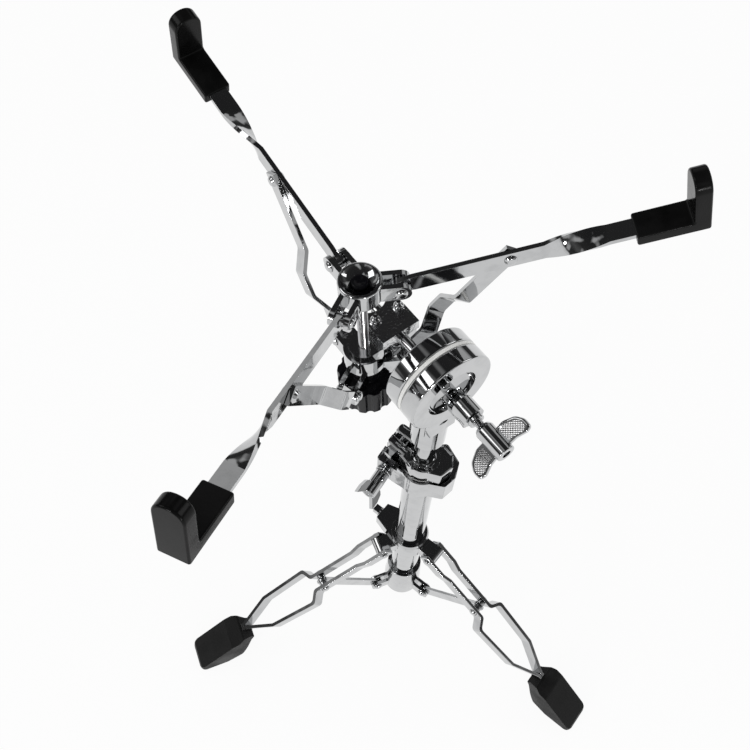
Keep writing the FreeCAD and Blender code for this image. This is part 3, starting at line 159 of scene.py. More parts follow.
def leg_frame(side: Side) -> Matrix:
    """Frame of one leg's pivot: X outwards and level, Y across the leg."""
    start = pivot(f"{side.value}_leg_fold")
    out = Vector((start.x, start.y, 0)).normalized()
    return upright(start, out, Vector((-out.y, out.x, 0)))


# Views that a flat outline is drawn in: the side view shows X and Z, the front view Y and Z
SIDE_VIEW = Matrix(((1, 0, 0, 0), (0, 0, -1, 0), (0, 1, 0, 0), (0, 0, 0, 1)))
FRONT_VIEW = Matrix(((0, 0, 1, 0), (1, 0, 0, 0), (0, 1, 0, 0), (0, 0, 0, 1)))


# Workshop: how pieces are made from primitives


def clear_selection() -> None:
    """Leave edit mode and select nothing."""
    if bpy.context.object and bpy.context.object.mode != "OBJECT":
        bpy.ops.object.mode_set(mode="OBJECT")
    bpy.ops.object.select_all(action="DESELECT")


def take(*pieces: Piece) -> Piece:
    """Select these pieces alone and make the first one active."""
    clear_selection()
    for piece in pieces:
        piece.select_set(True)
    bpy.context.view_layer.objects.active = pieces[0]
    return pieces[0]


def edit(piece: Piece) -> None:
    """Open a piece in edit mode with all of its mesh selected."""
    take(piece)
    bpy.ops.object.mode_set(mode="EDIT")
    bpy.ops.mesh.select_all(action="SELECT")


def close_up(threshold: float = 4 * TINY) -> None:
    """Merge doubled points in edit mode, turn the faces outwards and leave edit mode."""
    bpy.ops.mesh.select_all(action="SELECT")
    bpy.ops.mesh.remove_doubles(threshold=threshold)
    bpy.ops.mesh.normals_make_consistent(inside=False)
    bpy.ops.object.mode_set(mode="OBJECT")


def settle(piece: Piece, place: Matrix) -> Piece:
    """Move a piece to its place and write the place into its mesh."""
    take(piece)
    piece.matrix_world = place @ piece.matrix_world
    bpy.ops.object.transform_apply(location=True, rotation=True, scale=True)
    return piece


def joined(name: str, *pieces: Piece) -> Piece:
    """Join loose pieces into one object with this name."""
    take(*pieces)
    if len(pieces) > 1:
        bpy.ops.object.join()
    whole = bpy.context.object
    whole.name = name
    whole.data.name = name
    return whole


def apply(piece: Piece, kind: str, **settings: object) -> Piece:
    """Add one modifier, set it up and apply it.

    Args:
        piece: The piece to change.
        kind: Blender's name of the modifier.
        **settings: Properties of the modifier and their values.

    Returns:
        The same piece.
    """
    take(piece)
    modifier = piece.modifiers.new(kind.title(), kind)
    for name, value in settings.items():
        setattr(modifier, name, value)
    bpy.ops.object.modifier_apply(modifier=modifier.name)
    return piece


def soften(piece: Piece, width: float, segments: int = 2, limit: float = 32.0) -> Piece:
    """Round the edges of a piece that are sharper than a limit.

    Args:
        piece: The piece to change.
        width: Width of the rounding, in metres.
        segments: Steps across the rounding.
        limit: Sharpest angle between faces that stays as it is, in degrees.

    Returns:
        The same piece.
    """
    return apply(
        piece, "BEVEL", width=width, segments=segments, limit_method="ANGLE",
        angle_limit=math.radians(limit), miter_outer="MITER_ARC", loop_slide=True,
    )


def smooth(piece: Piece, limit: float = 38.0) -> Piece:
    """Shade a piece smooth below an angle, with its large faces kept flat."""
    take(piece)
    bpy.ops.object.shade_smooth_by_angle(angle=math.radians(limit))
    return apply(piece, "WEIGHTED_NORMAL", keep_sharp=True, weight=80)


def eased(corners: list[Corner], closed: bool = False, steps: int = 4) -> list[Point]:
    """Path through corners, each one rounded by its own radius.

    Args:
        corners: First and second coordinate of each corner and its radius.
        closed: Whether the last corner leads back to the first.
        steps: Runs in each rounded corner.

    Returns:
        The points of the path.
    """
    path: list[Point] = []
    count = len(corners)
    for index, (x, y, bend) in enumerate(corners):
        here = Vector((x, y))
        if bend <= 0 or (not closed and index in (0, count - 1)):
            path.append((x, y))
            continue
        back = (Vector(corners[index - 1][:2]) - here)
        ahead = (Vector(corners[(index + 1) % count][:2]) - here)
        half = back.angle(ahead) / 2
        reach = min(bend / math.tan(half), 0.49 * back.length, 0.49 * ahead.length)
        bend = reach * math.tan(half)
        first = here + back.normalized() * reach
        last = here + ahead.normalized() * reach
        middle = here + (back.normalized() + ahead.normalized()).normalized() * (bend / math.sin(half))
        start = first - middle
        turn = start.angle_signed(last - middle)
        for step in range(steps + 1):
            angle = -turn * step / steps
            spoke = Vector((
                start.x * math.cos(angle) - start.y * math.sin(angle),
                start.x * math.sin(angle) + start.y * math.cos(angle),
            ))
            path.append(tuple(middle + spoke))
    return path


def turned(profile: list[Point], segments: int = 72) -> Piece:
    """Turn a piece about local Z, as on a lathe.

    Args:
        profile: Radius and height of each point, from one end to the other.
            It starts and ends on the axis, or comes back to its first point.
        segments: Steps round the piece.

    Returns:
        The closed piece.
    """
    clear_selection()
    radius, height = profile[0]
    radius = max(radius, TINY)
    bpy.ops.mesh.primitive_circle_add(vertices=segments, radius=radius, location=(0, 0, height))
    piece = bpy.context.object
    bpy.ops.object.transform_apply(location=True, rotation=True, scale=True)
    edit(piece)
    for next_radius, next_height in profile[1:]:
        target = max(next_radius, TINY)
        bpy.ops.mesh.extrude_region_move(TRANSFORM_OT_translate={"value": (0, 0, next_height - height)})
        grow = target / radius
        bpy.ops.transform.resize(value=(grow, grow, 1), center_override=(0, 0, next_height))
        radius, height = target, next_height
    close_up(3 * TINY)
    return piece


def plate(outline: list[Point], low: float, high: float) -> Piece:
    """Flat plate with an outline in local XY, between two heights."""
    clear_selection()
    bpy.ops.mesh.primitive_circle_add(vertices=len(outline), radius=1, fill_type="NGON")
    piece = bpy.context.object
    for point, (x, y) in zip(piece.data.vertices, outline):
        point.co = (x, y, low)
    edit(piece)
    bpy.ops.mesh.extrude_region_move(TRANSFORM_OT_translate={"value": (0, 0, high - low)})
    close_up(TINY)
    return piece


def brick(low: tuple[float, float, float], high: tuple[float, float, float]) -> Piece:
    """Block between two corners, open to further work."""
    clear_selection()
    middle = [(a + b) / 2 for a, b in zip(low, high)]
    bpy.ops.mesh.primitive_cube_add(size=1, location=middle)
    piece = bpy.context.object
    piece.scale = [b - a for a, b in zip(low, high)]
    bpy.ops.object.transform_apply(location=True, rotation=True, scale=True)
    return piece


def carve(piece: Piece, tool: Piece, operation: str = "DIFFERENCE") -> Piece:
    """Cut one piece by another, or keep what both share, and clear the tool away."""
    apply(piece, "BOOLEAN", object=tool, operation=operation, solver="EXACT")
    take(tool)
    bpy.ops.object.delete()
    return piece


def sink_top(piece: Piece, high: float, rim: float, deep: float) -> Piece:
    """Sink the flat top of a casting inside a narrow rim.

    Args:
        piece: The casting.
        high: Faces above this height that look up are the top.
        rim: Width of the rim that stays, in metres.
        deep: How far the top is sunk.

    Returns:
        The same piece.
    """
    take(piece)
    for part in (piece.data.vertices, piece.data.edges):
        for item in part:
            item.select = False
    for face in piece.data.polygons:
        face.select = face.normal.z > 0.99 and face.center.z > high
    bpy.ops.object.mode_set(mode="EDIT")
    bpy.ops.mesh.select_mode(type="FACE")
    bpy.ops.mesh.inset(thickness=rim, depth=-deep)
    bpy.ops.mesh.select_mode(type="VERT")
    bpy.ops.object.mode_set(mode="OBJECT")
    return piece


def threaded(radius: float, low: float, high: float, pitch: float) -> Piece:
    """Screw thread along local Z between two heights, drawn as close ridges."""
    profile: list[Point] = [(0.0, low)]
    turns = max(1, int((high - low) / pitch))
    step = (high - low) / turns
    for turn in range(turns):
        profile.append((radius * 0.86, low + turn * step))
        profile.append((radius, low + (turn + 0.5) * step))
    profile.extend([(radius * 0.86, high), (0.0, high)])
    return turned(profile, 32)


def worked(node: str, edge: float = 0.5 * MM, segments: int = 2, tool: Piece | None = None,
           sunk: tuple[float, float] | None = None) -> Piece:
    """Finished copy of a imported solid: one skin, rounded edges, smooth curves.

    Args:
        node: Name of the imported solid.
        edge: Width of the rounding along its edges, in metres.
        segments: Steps across that rounding.
        tool: Piece that is cut away before the edges are rounded.
        sunk: Rim and depth of its top face where that is sunk, in metres.

    Returns:
        The copy, in the place of the solid.
    """
    take(frame["nodes"][node])
    bpy.ops.object.duplicate()
    piece = bpy.context.object
    piece.parent = None
    for key in list(piece.keys()):
        del piece[key]
    edit(piece)
    bpy.ops.mesh.remove_doubles(threshold=0.2 * TINY)
    bpy.ops.mesh.dissolve_limited(angle_limit=math.radians(0.4))
    bpy.ops.object.mode_set(mode="OBJECT")
    piece.data.materials.clear()
    if tool:
        carve(piece, tool)
    if sunk:
        high = max(corner.co.z for corner in piece.data.vertices)
        sink_top(piece, high - 2 * MM, *sunk)
    if edge > 0:
        soften(piece, edge, segments)
    return smooth(piece)


# Effects that several finishes share


def group_nodes(name: str, inputs: dict[str, float], outputs: tuple[str, ...]) -> tuple[Tree, dict]:
    """Empty node group with number sockets.

    Args:
        name: Name of the group.
        inputs: Name and default value of each input.
        outputs: Name of each output.

    Returns:
        The group and its two end nodes by name.
    """
    tree = bpy.data.node_groups.new(name, "ShaderNodeTree")
    for label, value in inputs.items():
        socket = tree.interface.new_socket(label, in_out="INPUT", socket_type="NodeSocketFloat")
        socket.default_value = value
    for label in outputs:
        tree.interface.new_socket(label, in_out="OUTPUT", socket_type="NodeSocketFloat")
    ends = {"in": tree.nodes.new("NodeGroupInput"), "out": tree.nodes.new("NodeGroupOutput")}
    return tree, ends


def noise(tree: Tree, vector: bpy.types.NodeSocket, scale: float, detail: float = 3.0,
          roughness: float = 0.5) -> bpy.types.Node:
    """Noise texture on a vector."""
    made = tree.nodes.new("ShaderNodeTexNoise")
    made.inputs["Scale"].default_value = scale
    made.inputs["Detail"].default_value = detail
    made.inputs["Roughness"].default_value = roughness
    tree.links.new(vector, made.inputs["Vector"])
    return made


def remap(tree: Tree, value: bpy.types.NodeSocket, low: float, high: float,
          to_low: float, to_high: float) -> bpy.types.Node:
    """Map a range of values onto another, clamped."""
    made = tree.nodes.new("ShaderNodeMapRange")
    for label, number in (("From Min", low), ("From Max", high), ("To Min", to_low), ("To Max", to_high)):
        made.inputs[label].default_value = number
    tree.links.new(value, made.inputs["Value"])
    return made


def plating_group() -> Tree:
    """Faint waves, hairline scuffs and haze of a plated surface."""
    tree, ends = group_nodes(
        "plating_wear", {"Wave Scale": 45.0, "Gloss": 0.035, "Haze": 0.09}, ("Height", "Roughness", "Tone")
    )
    where = tree.nodes.new("ShaderNodeTexCoord").outputs["Object"]
    waves = noise(tree, where, 45.0, 1.0)
    tree.links.new(ends["in"].outputs["Wave Scale"], waves.inputs["Scale"])
    hair = tree.nodes.new("ShaderNodeMapping")
    hair.inputs["Scale"].default_value = (900.0, 160.0, 900.0)
    tree.links.new(where, hair.inputs["Vector"])
    scuffs = noise(tree, hair.outputs["Vector"], 1.0, 2.0, 0.6)
    haze = noise(tree, where, 90.0, 4.0, 0.6)
    marks = remap(tree, scuffs.outputs["Fac"], 0.60, 0.78, 0.0, 0.35)
    cloud = remap(tree, haze.outputs["Fac"], 0.46, 0.74, 0.0, 0.65)
    both = tree.nodes.new("ShaderNodeMath")
    both.operation = "MAXIMUM"
    tree.links.new(marks.outputs["Result"], both.inputs[0])
    tree.links.new(cloud.outputs["Result"], both.inputs[1])
    rough = tree.nodes.new("ShaderNodeMapRange")
    tree.links.new(both.outputs[0], rough.inputs["Value"])
    tree.links.new(ends["in"].outputs["Gloss"], rough.inputs["To Min"])
    tree.links.new(ends["in"].outputs["Haze"], rough.inputs["To Max"])
    tone = remap(tree, cloud.outputs["Result"], 0.0, 1.0, 0.0, 1.0)
    tree.links.new(waves.outputs["Fac"], ends["out"].inputs["Height"])
    tree.links.new(rough.outputs["Result"], ends["out"].inputs["Roughness"])
    tree.links.new(tone.outputs["Result"], ends["out"].inputs["Tone"])
    return tree


def moulding_group() -> Tree:
    """Fine moulded grain with rubbed, shinier patches."""
    tree, ends = group_nodes(
        "moulded_skin", {"Grain Scale": 900.0, "Rubbed": 0.28, "Matt": 0.42}, ("Height", "Roughness", "Tone")
    )
    where = tree.nodes.new("ShaderNodeTexCoord").outputs["Object"]
    grain = noise(tree, where, 900.0, 2.0)
    tree.links.new(ends["in"].outputs["Grain Scale"], grain.inputs["Scale"])
    patches = noise(tree, where, 55.0, 3.0, 0.55)
    worn = remap(tree, patches.outputs["Fac"], 0.38, 0.64, 0.0, 1.0)
    rough = tree.nodes.new("ShaderNodeMapRange")
    tree.links.new(worn.outputs["Result"], rough.inputs["Value"])
    tree.links.new(ends["in"].outputs["Matt"], rough.inputs["To Min"])
    tree.links.new(ends["in"].outputs["Rubbed"], rough.inputs["To Max"])
    tree.links.new(grain.outputs["Fac"], ends["out"].inputs["Height"])
    tree.links.new(rough.outputs["Result"], ends["out"].inputs["Roughness"])
    tree.links.new(worn.outputs["Result"], ends["out"].inputs["Tone"])
    return tree


def knurling_group() -> Tree:
    """Crossed grooves of a knurled grip; its rows run along two directions in the face. Its tone paints shade into
    the grooves.
    """
    tree, ends = group_nodes("knurled_face_shaded", {"Pitch": 1.1 * MM}, ("Height", "Roughness", "Tone"))
    for label in ("Row A", "Row B"):
        tree.interface.new_socket(label, in_out="INPUT", socket_type="NodeSocketVector")
    where = tree.nodes.new("ShaderNodeTexCoord").outputs["Object"]
    rows = []
    for label in ("Row A", "Row B"):
        along = tree.nodes.new("ShaderNodeVectorMath")
        along.operation = "DOT_PRODUCT"
        tree.links.new(where, along.inputs[0])
        tree.links.new(ends["in"].outputs[label], along.inputs[1])
        count = tree.nodes.new("ShaderNodeMath")
        count.operation = "DIVIDE"
        tree.links.new(along.outputs["Value"], count.inputs[0])
        tree.links.new(ends["in"].outputs["Pitch"], count.inputs[1])
        wave = tree.nodes.new("ShaderNodeMath")
        wave.operation = "PINGPONG"
        wave.inputs[1].default_value = 0.5
        tree.links.new(count.outputs[0], wave.inputs[0])
        rows.append(wave)
    peak = tree.nodes.new("ShaderNodeMath")
    peak.operation = "MINIMUM"
    tree.links.new(rows[0].outputs[0], peak.inputs[0])
    tree.links.new(rows[1].outputs[0], peak.inputs[1])
    # Painted shade: the tone is 1 in the grooves, where the finish takes its dark colour.
    groove_shade = remap(tree, peak.outputs[0], 0.05, 0.20, 1.0, 0.0)
    rough = remap(tree, groove_shade.outputs["Result"], 0.0, 1.0, 0.10, 0.35)
    tree.links.new(peak.outputs[0], ends["out"].inputs["Height"])
    tree.links.new(rough.outputs["Result"], ends["out"].inputs["Roughness"])
    tree.links.new(groove_shade.outputs["Result"], ends["out"].inputs["Tone"])
    return tree


@dataclass(frozen=True)
class Finish:
    """One surface finish: two tones, gloss and relief driven by a shared effect."""

    name: str
    dark: Colour
    light: Colour
    metallic: float
    relief: float
    effect: str
    settings: tuple[tuple[str, float | Corner], ...] = ()
    specular: float = 0.5
    coat: float = 0.0
    coat_roughness: float = 0.1

    def material(self) -> bpy.types.Material:
        """Build the finish's material, or give it again where it is built already."""
        if self.name in bpy.data.materials:
            return bpy.data.materials[self.name]
        made = bpy.data.materials.new(self.name)
        made.use_nodes = True
        tree = made.node_tree
        shader = tree.nodes["Principled BSDF"]
        shader.inputs["Metallic"].default_value = self.metallic
        shader.inputs["Specular IOR Level"].default_value = self.specular
        shader.inputs["Coat Weight"].default_value = self.coat
        shader.inputs["Coat Roughness"].default_value = self.coat_roughness
        effect = tree.nodes.new("ShaderNodeGroup")
        effect.node_tree = bpy.data.node_groups[self.effect]
        for label, value in self.settings:
            effect.inputs[label].default_value = value
        tones = tree.nodes.new("ShaderNodeMix")
        tones.data_type = "RGBA"
        tones.inputs["A"].default_value = (*self.light, 1)
        tones.inputs["B"].default_value = (*self.dark, 1)
        bump = tree.nodes.new("ShaderNodeBump")
        bump.inputs["Strength"].default_value = self.relief
        bump.inputs["Distance"].default_value = 0.5 * MM
        tree.links.new(effect.outputs["Tone"], tones.inputs["Factor"])
        tree.links.new(tones.outputs["Result"], shader.inputs["Base Color"])
        tree.links.new(effect.outputs["Roughness"], shader.inputs["Roughness"])
        tree.links.new(effect.outputs["Height"], bump.inputs["Height"])
        tree.links.new(bump.outputs["Normal"], shader.inputs["Normal"])
        return made


MIRROR = Finish("mirror_chrome", (0.43, 0.435, 0.44), (0.53, 0.535, 0.54), 1.0, 0.10, "plating_wear")
STAMPED = Finish(
    "stamped_chrome", (0.40, 0.405, 0.41), (0.52, 0.525, 0.53), 1.0, 0.26, "plating_wear",
    (("Wave Scale", 70.0), ("Gloss", 0.05), ("Haze", 0.13)),
)
CAST = Finish(
    "cast_chrome", (0.42, 0.425, 0.43), (0.53, 0.535, 0.54), 1.0, 0.40, "plating_wear",
    (("Wave Scale", 120.0), ("Gloss", 0.05), ("Haze", 0.12)),
)
PITTED = Finish(
    "pitted_chrome", (0.36, 0.365, 0.37), (0.62, 0.625, 0.63), 1.0, 0.45, "plating_wear",
    (("Wave Scale", 520.0), ("Gloss", 0.07), ("Haze", 0.24)),
)
THREAD = Finish(
    "thread_steel", (0.34, 0.34, 0.35), (0.48, 0.48, 0.49), 1.0, 0.15, "plating_wear",
    (("Gloss", 0.14), ("Haze", 0.26)),
)
FOOT_RUBBER = Finish(
    "foot_rubber_skin", (0.006, 0.006, 0.006), (0.011, 0.011, 0.011), 0.0, 0.10, "moulded_skin",
    (("Rubbed", 0.42), ("Matt", 0.58)), 0.14,
)
GRIP_PLASTIC = Finish(
    "grip_moulding", (0.003, 0.003, 0.003), (0.006, 0.006, 0.006), 0.0, 0.05, "moulded_skin",
    (("Grain Scale", 700.0), ("Rubbed", 0.14), ("Matt", 0.22)), 0.10,
)
KNOB_PLASTIC = Finish(
    "knob_moulding", (0.003, 0.003, 0.004), (0.006, 0.006, 0.007), 0.0, 0.04, "moulded_skin",
    (("Rubbed", 0.16), ("Matt", 0.26)), 0.14,
)
NYLON = Finish(
    "white_nylon", (0.74, 0.74, 0.72), (0.84, 0.84, 0.82), 0.0, 0.05, "moulded_skin",
    (("Rubbed", 0.30), ("Matt", 0.42)), 0.5,
)


@dataclass
class Made:
    """One finished piece with its finish, its slot and the solids that it replaces."""

    piece: Piece
    finish: Finish
    slot: Slot
    nodes: tuple[str, ...]

    def mount(self) -> None:
        """Give the piece its material and its body, and put it in the solids' place."""
        self.piece.data.materials.clear()
        self.piece.data.materials.append(self.finish.material())
        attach(self.piece, frame["nodes"][self.nodes[0]]["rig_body"])
        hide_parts(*self.nodes)
        LOG.info("%s: %d faces", self.piece.name, len(self.piece.data.polygons))


@dataclass
class Assembly:
    """A sub-assembly: build makes its pieces, dress gives them finish and place."""

    made: list[Made] = field(default_factory=list, init=False)

    def add(self, piece: Piece, finish: Finish, slot: Slot, *nodes: str) -> Piece:
        """Keep a finished piece under the name of the first solid that it replaces."""
        piece.name = "dressed_" + nodes[0]
        piece.data.name = piece.name
        self.made.append(Made(piece, finish, slot, nodes))
        return piece

    def skin(self, finish: Finish, edge: float, *nodes: str, slot: Slot = Slot.CHROME, segments: int = 2) -> None:
        """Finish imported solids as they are, with rounded edges.

        Args:
            finish: Surface finish of all of them.
            edge: Width of the rounding, in metres.
            *nodes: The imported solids.
            slot: Material slot of the record.
            segments: Steps across the rounding.
        """
        for node in nodes:
            self.add(worked(node, edge, segments), finish, slot, node)

    def build(self) -> None:
        """Make every piece of the sub-assembly."""

    def dress(self) -> None:
        """Mount every piece that was built."""
        for item in self.made:
            item.mount()


@dataclass
class LegSet(Assembly):
    """Lower tube, its two collars, the three double legs and their braces."""

    strap_edge: float = 0.7 * MM
    casting_edge: float = 1.2 * MM
    rivet_edge: float = 1.1 * MM

    def build(self) -> None:
        """Make the tube, the collars, the legs and the braces."""
        self.skin(MIRROR, 0.4 * MM, "lower_tube")
        self.skin(KNOB_PLASTIC, 0.8 * MM, "tube_end_cap", slot=Slot.PLASTIC)
        self.skin(CAST, self.casting_edge, "brace_collar", "leg_collar", segments=3)
        self.skin(MIRROR, self.rivet_edge, "brace_collar_rivets", "leg_pivot_bolts", segments=3)
        self.skin(MIRROR, 0.6 * MM, "leg_lock_screw")
        for side in LEGS:
            name = side.value
            self.skin(STAMPED, self.strap_edge, f"{name}_leg_strap_a", f"{name}_leg_strap_b", f"{name}_brace")
            self.skin(MIRROR, self.rivet_edge, f"{name}_leg_brace_rivet", segments=3)


@dataclass
class FootSet(Assembly):
    """Three moulded rubber feet; radii and heights are measured from the stand's axis and the floor."""

    drop: float = math.radians(35.8)
    start: float = 162.5 * MM
    rise: float = 8.5 * MM
    sole_in: float = 186.0 * MM
    outer: float = 212.5 * MM
    toe_high: float = 8.5 * MM
    half_width: float = 14.5 * MM
    pinch: float = 5.0 * MM
    toe_round: float = 5.5 * MM
    edge: float = 1.9 * MM
    strap_end: float = 208.1 * MM
    strap_half: float = 3.25 * MM
    strap_high: float = 5.9 * MM

    def side_profile(self, pivot_point: Vector) -> list[Point]:
        """Outline of a foot seen from its side, from the leg's pivot.

        Args:
            pivot_point: Where the leg's pivot lies: its radius and its height.

        Returns:
            Corners, outwards and up from the pivot.
        """
        def on_leg(along: float, up: float) -> Point:
            return (along * math.cos(self.drop) + up * math.sin(self.drop),
                    up * math.cos(self.drop) - along * math.sin(self.drop))

        def on_floor(radius: float, high: float) -> Point:
            return radius - pivot_point.x, high - pivot_point.y

        low = on_leg(self.start, 1 * MM - self.rise)
        inner = on_floor(self.sole_in, 0.0)
        heel = ((low[0] + inner[0]) / 2 - 4.5 * MM, inner[1] + 0.32 * (low[1] - inner[1]))
        corners: list[Corner] = [
            (*inner, 6 * MM), (*on_floor(self.outer - 1.5 * MM, 0.0), 0), (*on_floor(self.outer, 4 * MM), 0),
            (*on_floor(self.outer - 1.5 * MM, self.toe_high), 2.5 * MM),
            (*on_leg(self.start + 15 * MM, self.rise + 1.5 * MM), 9 * MM),
            (*on_leg(self.start + 2 * MM, self.rise - 1 * MM), 2 * MM), (*low, 2 * MM), (*heel, 22 * MM),
        ]
        return eased(corners, True, 5)

    def foot(self, side: Side) -> Piece:
        """Make one foot with the slot for the leg's two straps."""
        start = pivot(f"{side.value}_leg_fold")
        radius = math.hypot(start.x, start.y)
        piece = settle(plate(self.side_profile(Vector((radius, start.z))), -30 * MM, 30 * MM), SIDE_VIEW)
        inner, outer = self.start - 12 * MM - radius, self.outer - radius
        half = self.half_width
        plan = eased([
            (inner, pinched, 0) for pinched in (self.pinch - half,)
        ] + [
            (inner + 8 * MM, self.pinch - half, 3 * MM), (inner + 20 * MM, -half, 6 * MM),
            (outer, -half, self.toe_round), (outer, half, self.toe_round), (inner + 20 * MM, half, 6 * MM),
            (inner + 8 * MM, half - self.pinch, 3 * MM), (inner, half - self.pinch, 0),
        ], True, 5)
        carve(piece, plate(plan, -160 * MM, 10 * MM), "INTERSECT")
        soften(piece, self.edge, 4, 30)
        slot = brick((self.start - 8 * MM, -self.strap_half, -self.strap_high),
                     (self.strap_end, self.strap_half, self.strap_high))
        carve(piece, settle(slot, Matrix.Rotation(self.drop, 4, "Y")))
        return smooth(settle(piece, leg_frame(side)), 44)

    def build(self) -> None:
        """Make the three feet."""
        for side in LEGS:
            self.add(self.foot(side), FOOT_RUBBER, Slot.RUBBER, f"{side.value}_foot")


@dataclass
class HeightClamp(Assembly):
    """Clamp on the lower tube, memory lock above it, their screws and the upper tube."""

    casting_edge: float = 0.9 * MM
    top_rim: float = 2.2 * MM
    top_depth: float = 0.9 * MM

    def build(self) -> None:
        """Make the clamp, the lock, the bushing and the tube."""
        for node in ("height_clamp", "memory_lock"):
            casting = worked(node, self.casting_edge, 3, None, (self.top_rim, self.top_depth))
            self.add(casting, CAST, Slot.CHROME, node)
        self.skin(MIRROR, 0.9 * MM, "clamp_screw", "clamp_washer", "memory_lock_bolt", segments=3)
        self.skin(MIRROR, 1.0 * MM, "clamp_wing_nut", segments=3)
        self.skin(NYLON, 0.4 * MM, "tube_bushing", slot=Slot.NYLON)
        self.skin(MIRROR, 0.4 * MM, "upper_tube")


@dataclass
class Tilter(Assembly):
    """Disc tilter with its friction ring, bolt and wing nut, and the offset rod."""

    front_face: float = 13.9 * MM
    boss_radius: float = 7.7 * MM
    boss_start: float = 22.8 * MM
    boss_end: float = 35.4 * MM
    neck_radius: float = 4.2 * MM
    dish_radius: float = 18.8 * MM
    dish_depth: float = 11.4 * MM
    bolt_radius: float = 3.0 * MM
    bolt_square: float = 4.5 * MM
    bolt_end: float = 63.2 * MM
    nut_start: float = 43.4 * MM
    nut_radius: float = 6.5 * MM
    nut_length: float = 23.0 * MM
    wing_turn: float = math.radians(43.0)
    wing_span: float = 24.0 * MM
    wing_thick: float = 4.0 * MM
    pitch: float = 1.25 * MM

    def dish_tool(self) -> Piece:
        """Bowl round a thin neck, cut into the front disc and under the boss."""
        face, wide, neck, boss = self.front_face, self.dish_radius, self.neck_radius, self.boss_start
        deep = face - self.dish_depth
        bowl = [(wide * math.sin(turn), face - self.dish_depth * math.cos(turn) ** 0.8)
                for turn in (math.radians(angle) for angle in range(20, 90, 7))]
        profile = [(neck, boss), (neck, deep), *bowl, (wide, face), (wide, boss), (neck, boss)]
        return settle(turned(profile, 96), tilter_frame())

    def front(self) -> Piece:
        """Front half with its bowl and the web that carries the boss."""
        half = worked("tilter_front_half", 0.9 * MM, 3, self.dish_tool())
        radius = self.boss_radius
        outline = [(-radius, 0.0), (-radius, -0.4 * radius), (-0.55 * radius, -1.75 * radius),
                   (0.55 * radius, -1.75 * radius), (radius, -0.4 * radius), (radius, 0.0)]
        web = soften(plate(outline, self.front_face - 2 * MM, self.boss_end - 2.4 * MM), 1.2 * MM, 3)
        hole = turned([(0.0, 0.0), (0.8 * radius, 0.0), (0.8 * radius, 0.06), (0.0, 0.06)], 48)
        carve(web, hole)
        return joined("front", half, smooth(settle(web, tilter_frame())))

    def bolt(self) -> Piece:
        """Square head in the rear half and a thread out through the boss."""
        head = brick((-self.bolt_square, -self.bolt_square, -5.9 * MM), (self.bolt_square, self.bolt_square, -2 * MM))
        soften(head, 0.6 * MM)
        shank = threaded(self.bolt_radius, -2.4 * MM, self.bolt_end, self.pitch)
        return smooth(settle(joined("bolt", shank, head), tilter_frame()), 30)

    def wing_frame(self) -> Matrix:
        """Frame of the wing nut: Z out along the bolt, X towards a wing."""
        return tilter_frame() @ Matrix.Translation((0, 0, self.nut_start)) @ Matrix.Rotation(self.wing_turn, 4, "Z")

    def paddle(self, sign: int, inset: float, thick: float) -> Piece:
        """One wing, or the knurled panel that lies inside its edge.

        Args:
            sign: 1 or -1 for the wing's side.
            inset: How far the outline lies inside the wing's own.
            thick: Thickness of the plate.

        Returns:
            The plate, in the wing nut's frame.
        """
        root = 3 * MM if inset == 0 else self.nut_radius + 1.4 * MM
        low, high = 0.31 * self.nut_length + inset, 0.95 * self.nut_length - inset
        tip = self.wing_span - inset
        corners: list[Corner] = [
            (root, low + inset * 0.4, 0), (0.52 * tip, low - 0.2 * MM, 8 * MM), (0.86 * tip, low + 3.4 * MM, 6 * MM),
            (tip, 0.5 * (low + high) + 1.5 * MM, 6 * MM), (0.985 * tip, high + 0.6 * MM, 3.2 * MM),
            (0.80 * tip, high + 1.3 * MM, 3 * MM), (0.5 * tip, high - 1.0 * MM, 8 * MM), (root, high - 1.6 * MM, 0),
        ]
        outline = [(sign * x, z) for x, z in eased(corners, True, 6)]
        return settle(plate(outline, -thick / 2, thick / 2), SIDE_VIEW)

    def wing_nut(self) -> tuple[Piece, Piece]:
        """Wing nut in two pieces: the casting and its knurled panels."""
        radius, long = self.nut_radius, self.nut_length
        inner = self.bolt_radius + 0.1 * MM
        profile = eased([
            (inner, 0, 0), (0.80 * radius, 0, 0.8 * MM), (radius, 2.4 * MM, 0.8 * MM),
            (radius, long, 0.9 * MM), (inner, long, 0), (inner, 0, 0),
        ])
        pieces = [turned(profile, 64)]
        panels = []
        for sign in (1, -1):
            pieces.append(soften(self.paddle(sign, 0.0, self.wing_thick), 1.3 * MM, 4, 40))
            panels.append(self.paddle(sign, 2.0 * MM, self.wing_thick + 0.16 * MM))
        body = smooth(settle(joined("wing_nut", *pieces), self.wing_frame()), 40)
        panel = settle(joined("wing_panels", *panels), self.wing_frame())
        return body, smooth(panel, 30)

    def knurl(self) -> Finish:
        """Knurled chrome with its rows set across the wings, with painted shade in its grooves and a painted
        highlight on its ridges.
        """
        turn = self.wing_frame().to_3x3()
        row_a = (turn @ Vector((1, 0, 1))).normalized()
        row_b = (turn @ Vector((1, 0, -1))).normalized()
        # Painted shade and highlight: 0.38 in the grooves, and 0.97 on the ridges, which is lighter than the other
        # chrome.
        return Finish("knurled_chrome_shade_and_highlight", (0.38, 0.38, 0.38), (0.97, 0.97, 0.98), 1.0, 0.4, "knurled_face_shaded",
                      (("Row A", tuple(row_a)), ("Row B", tuple(row_b))))

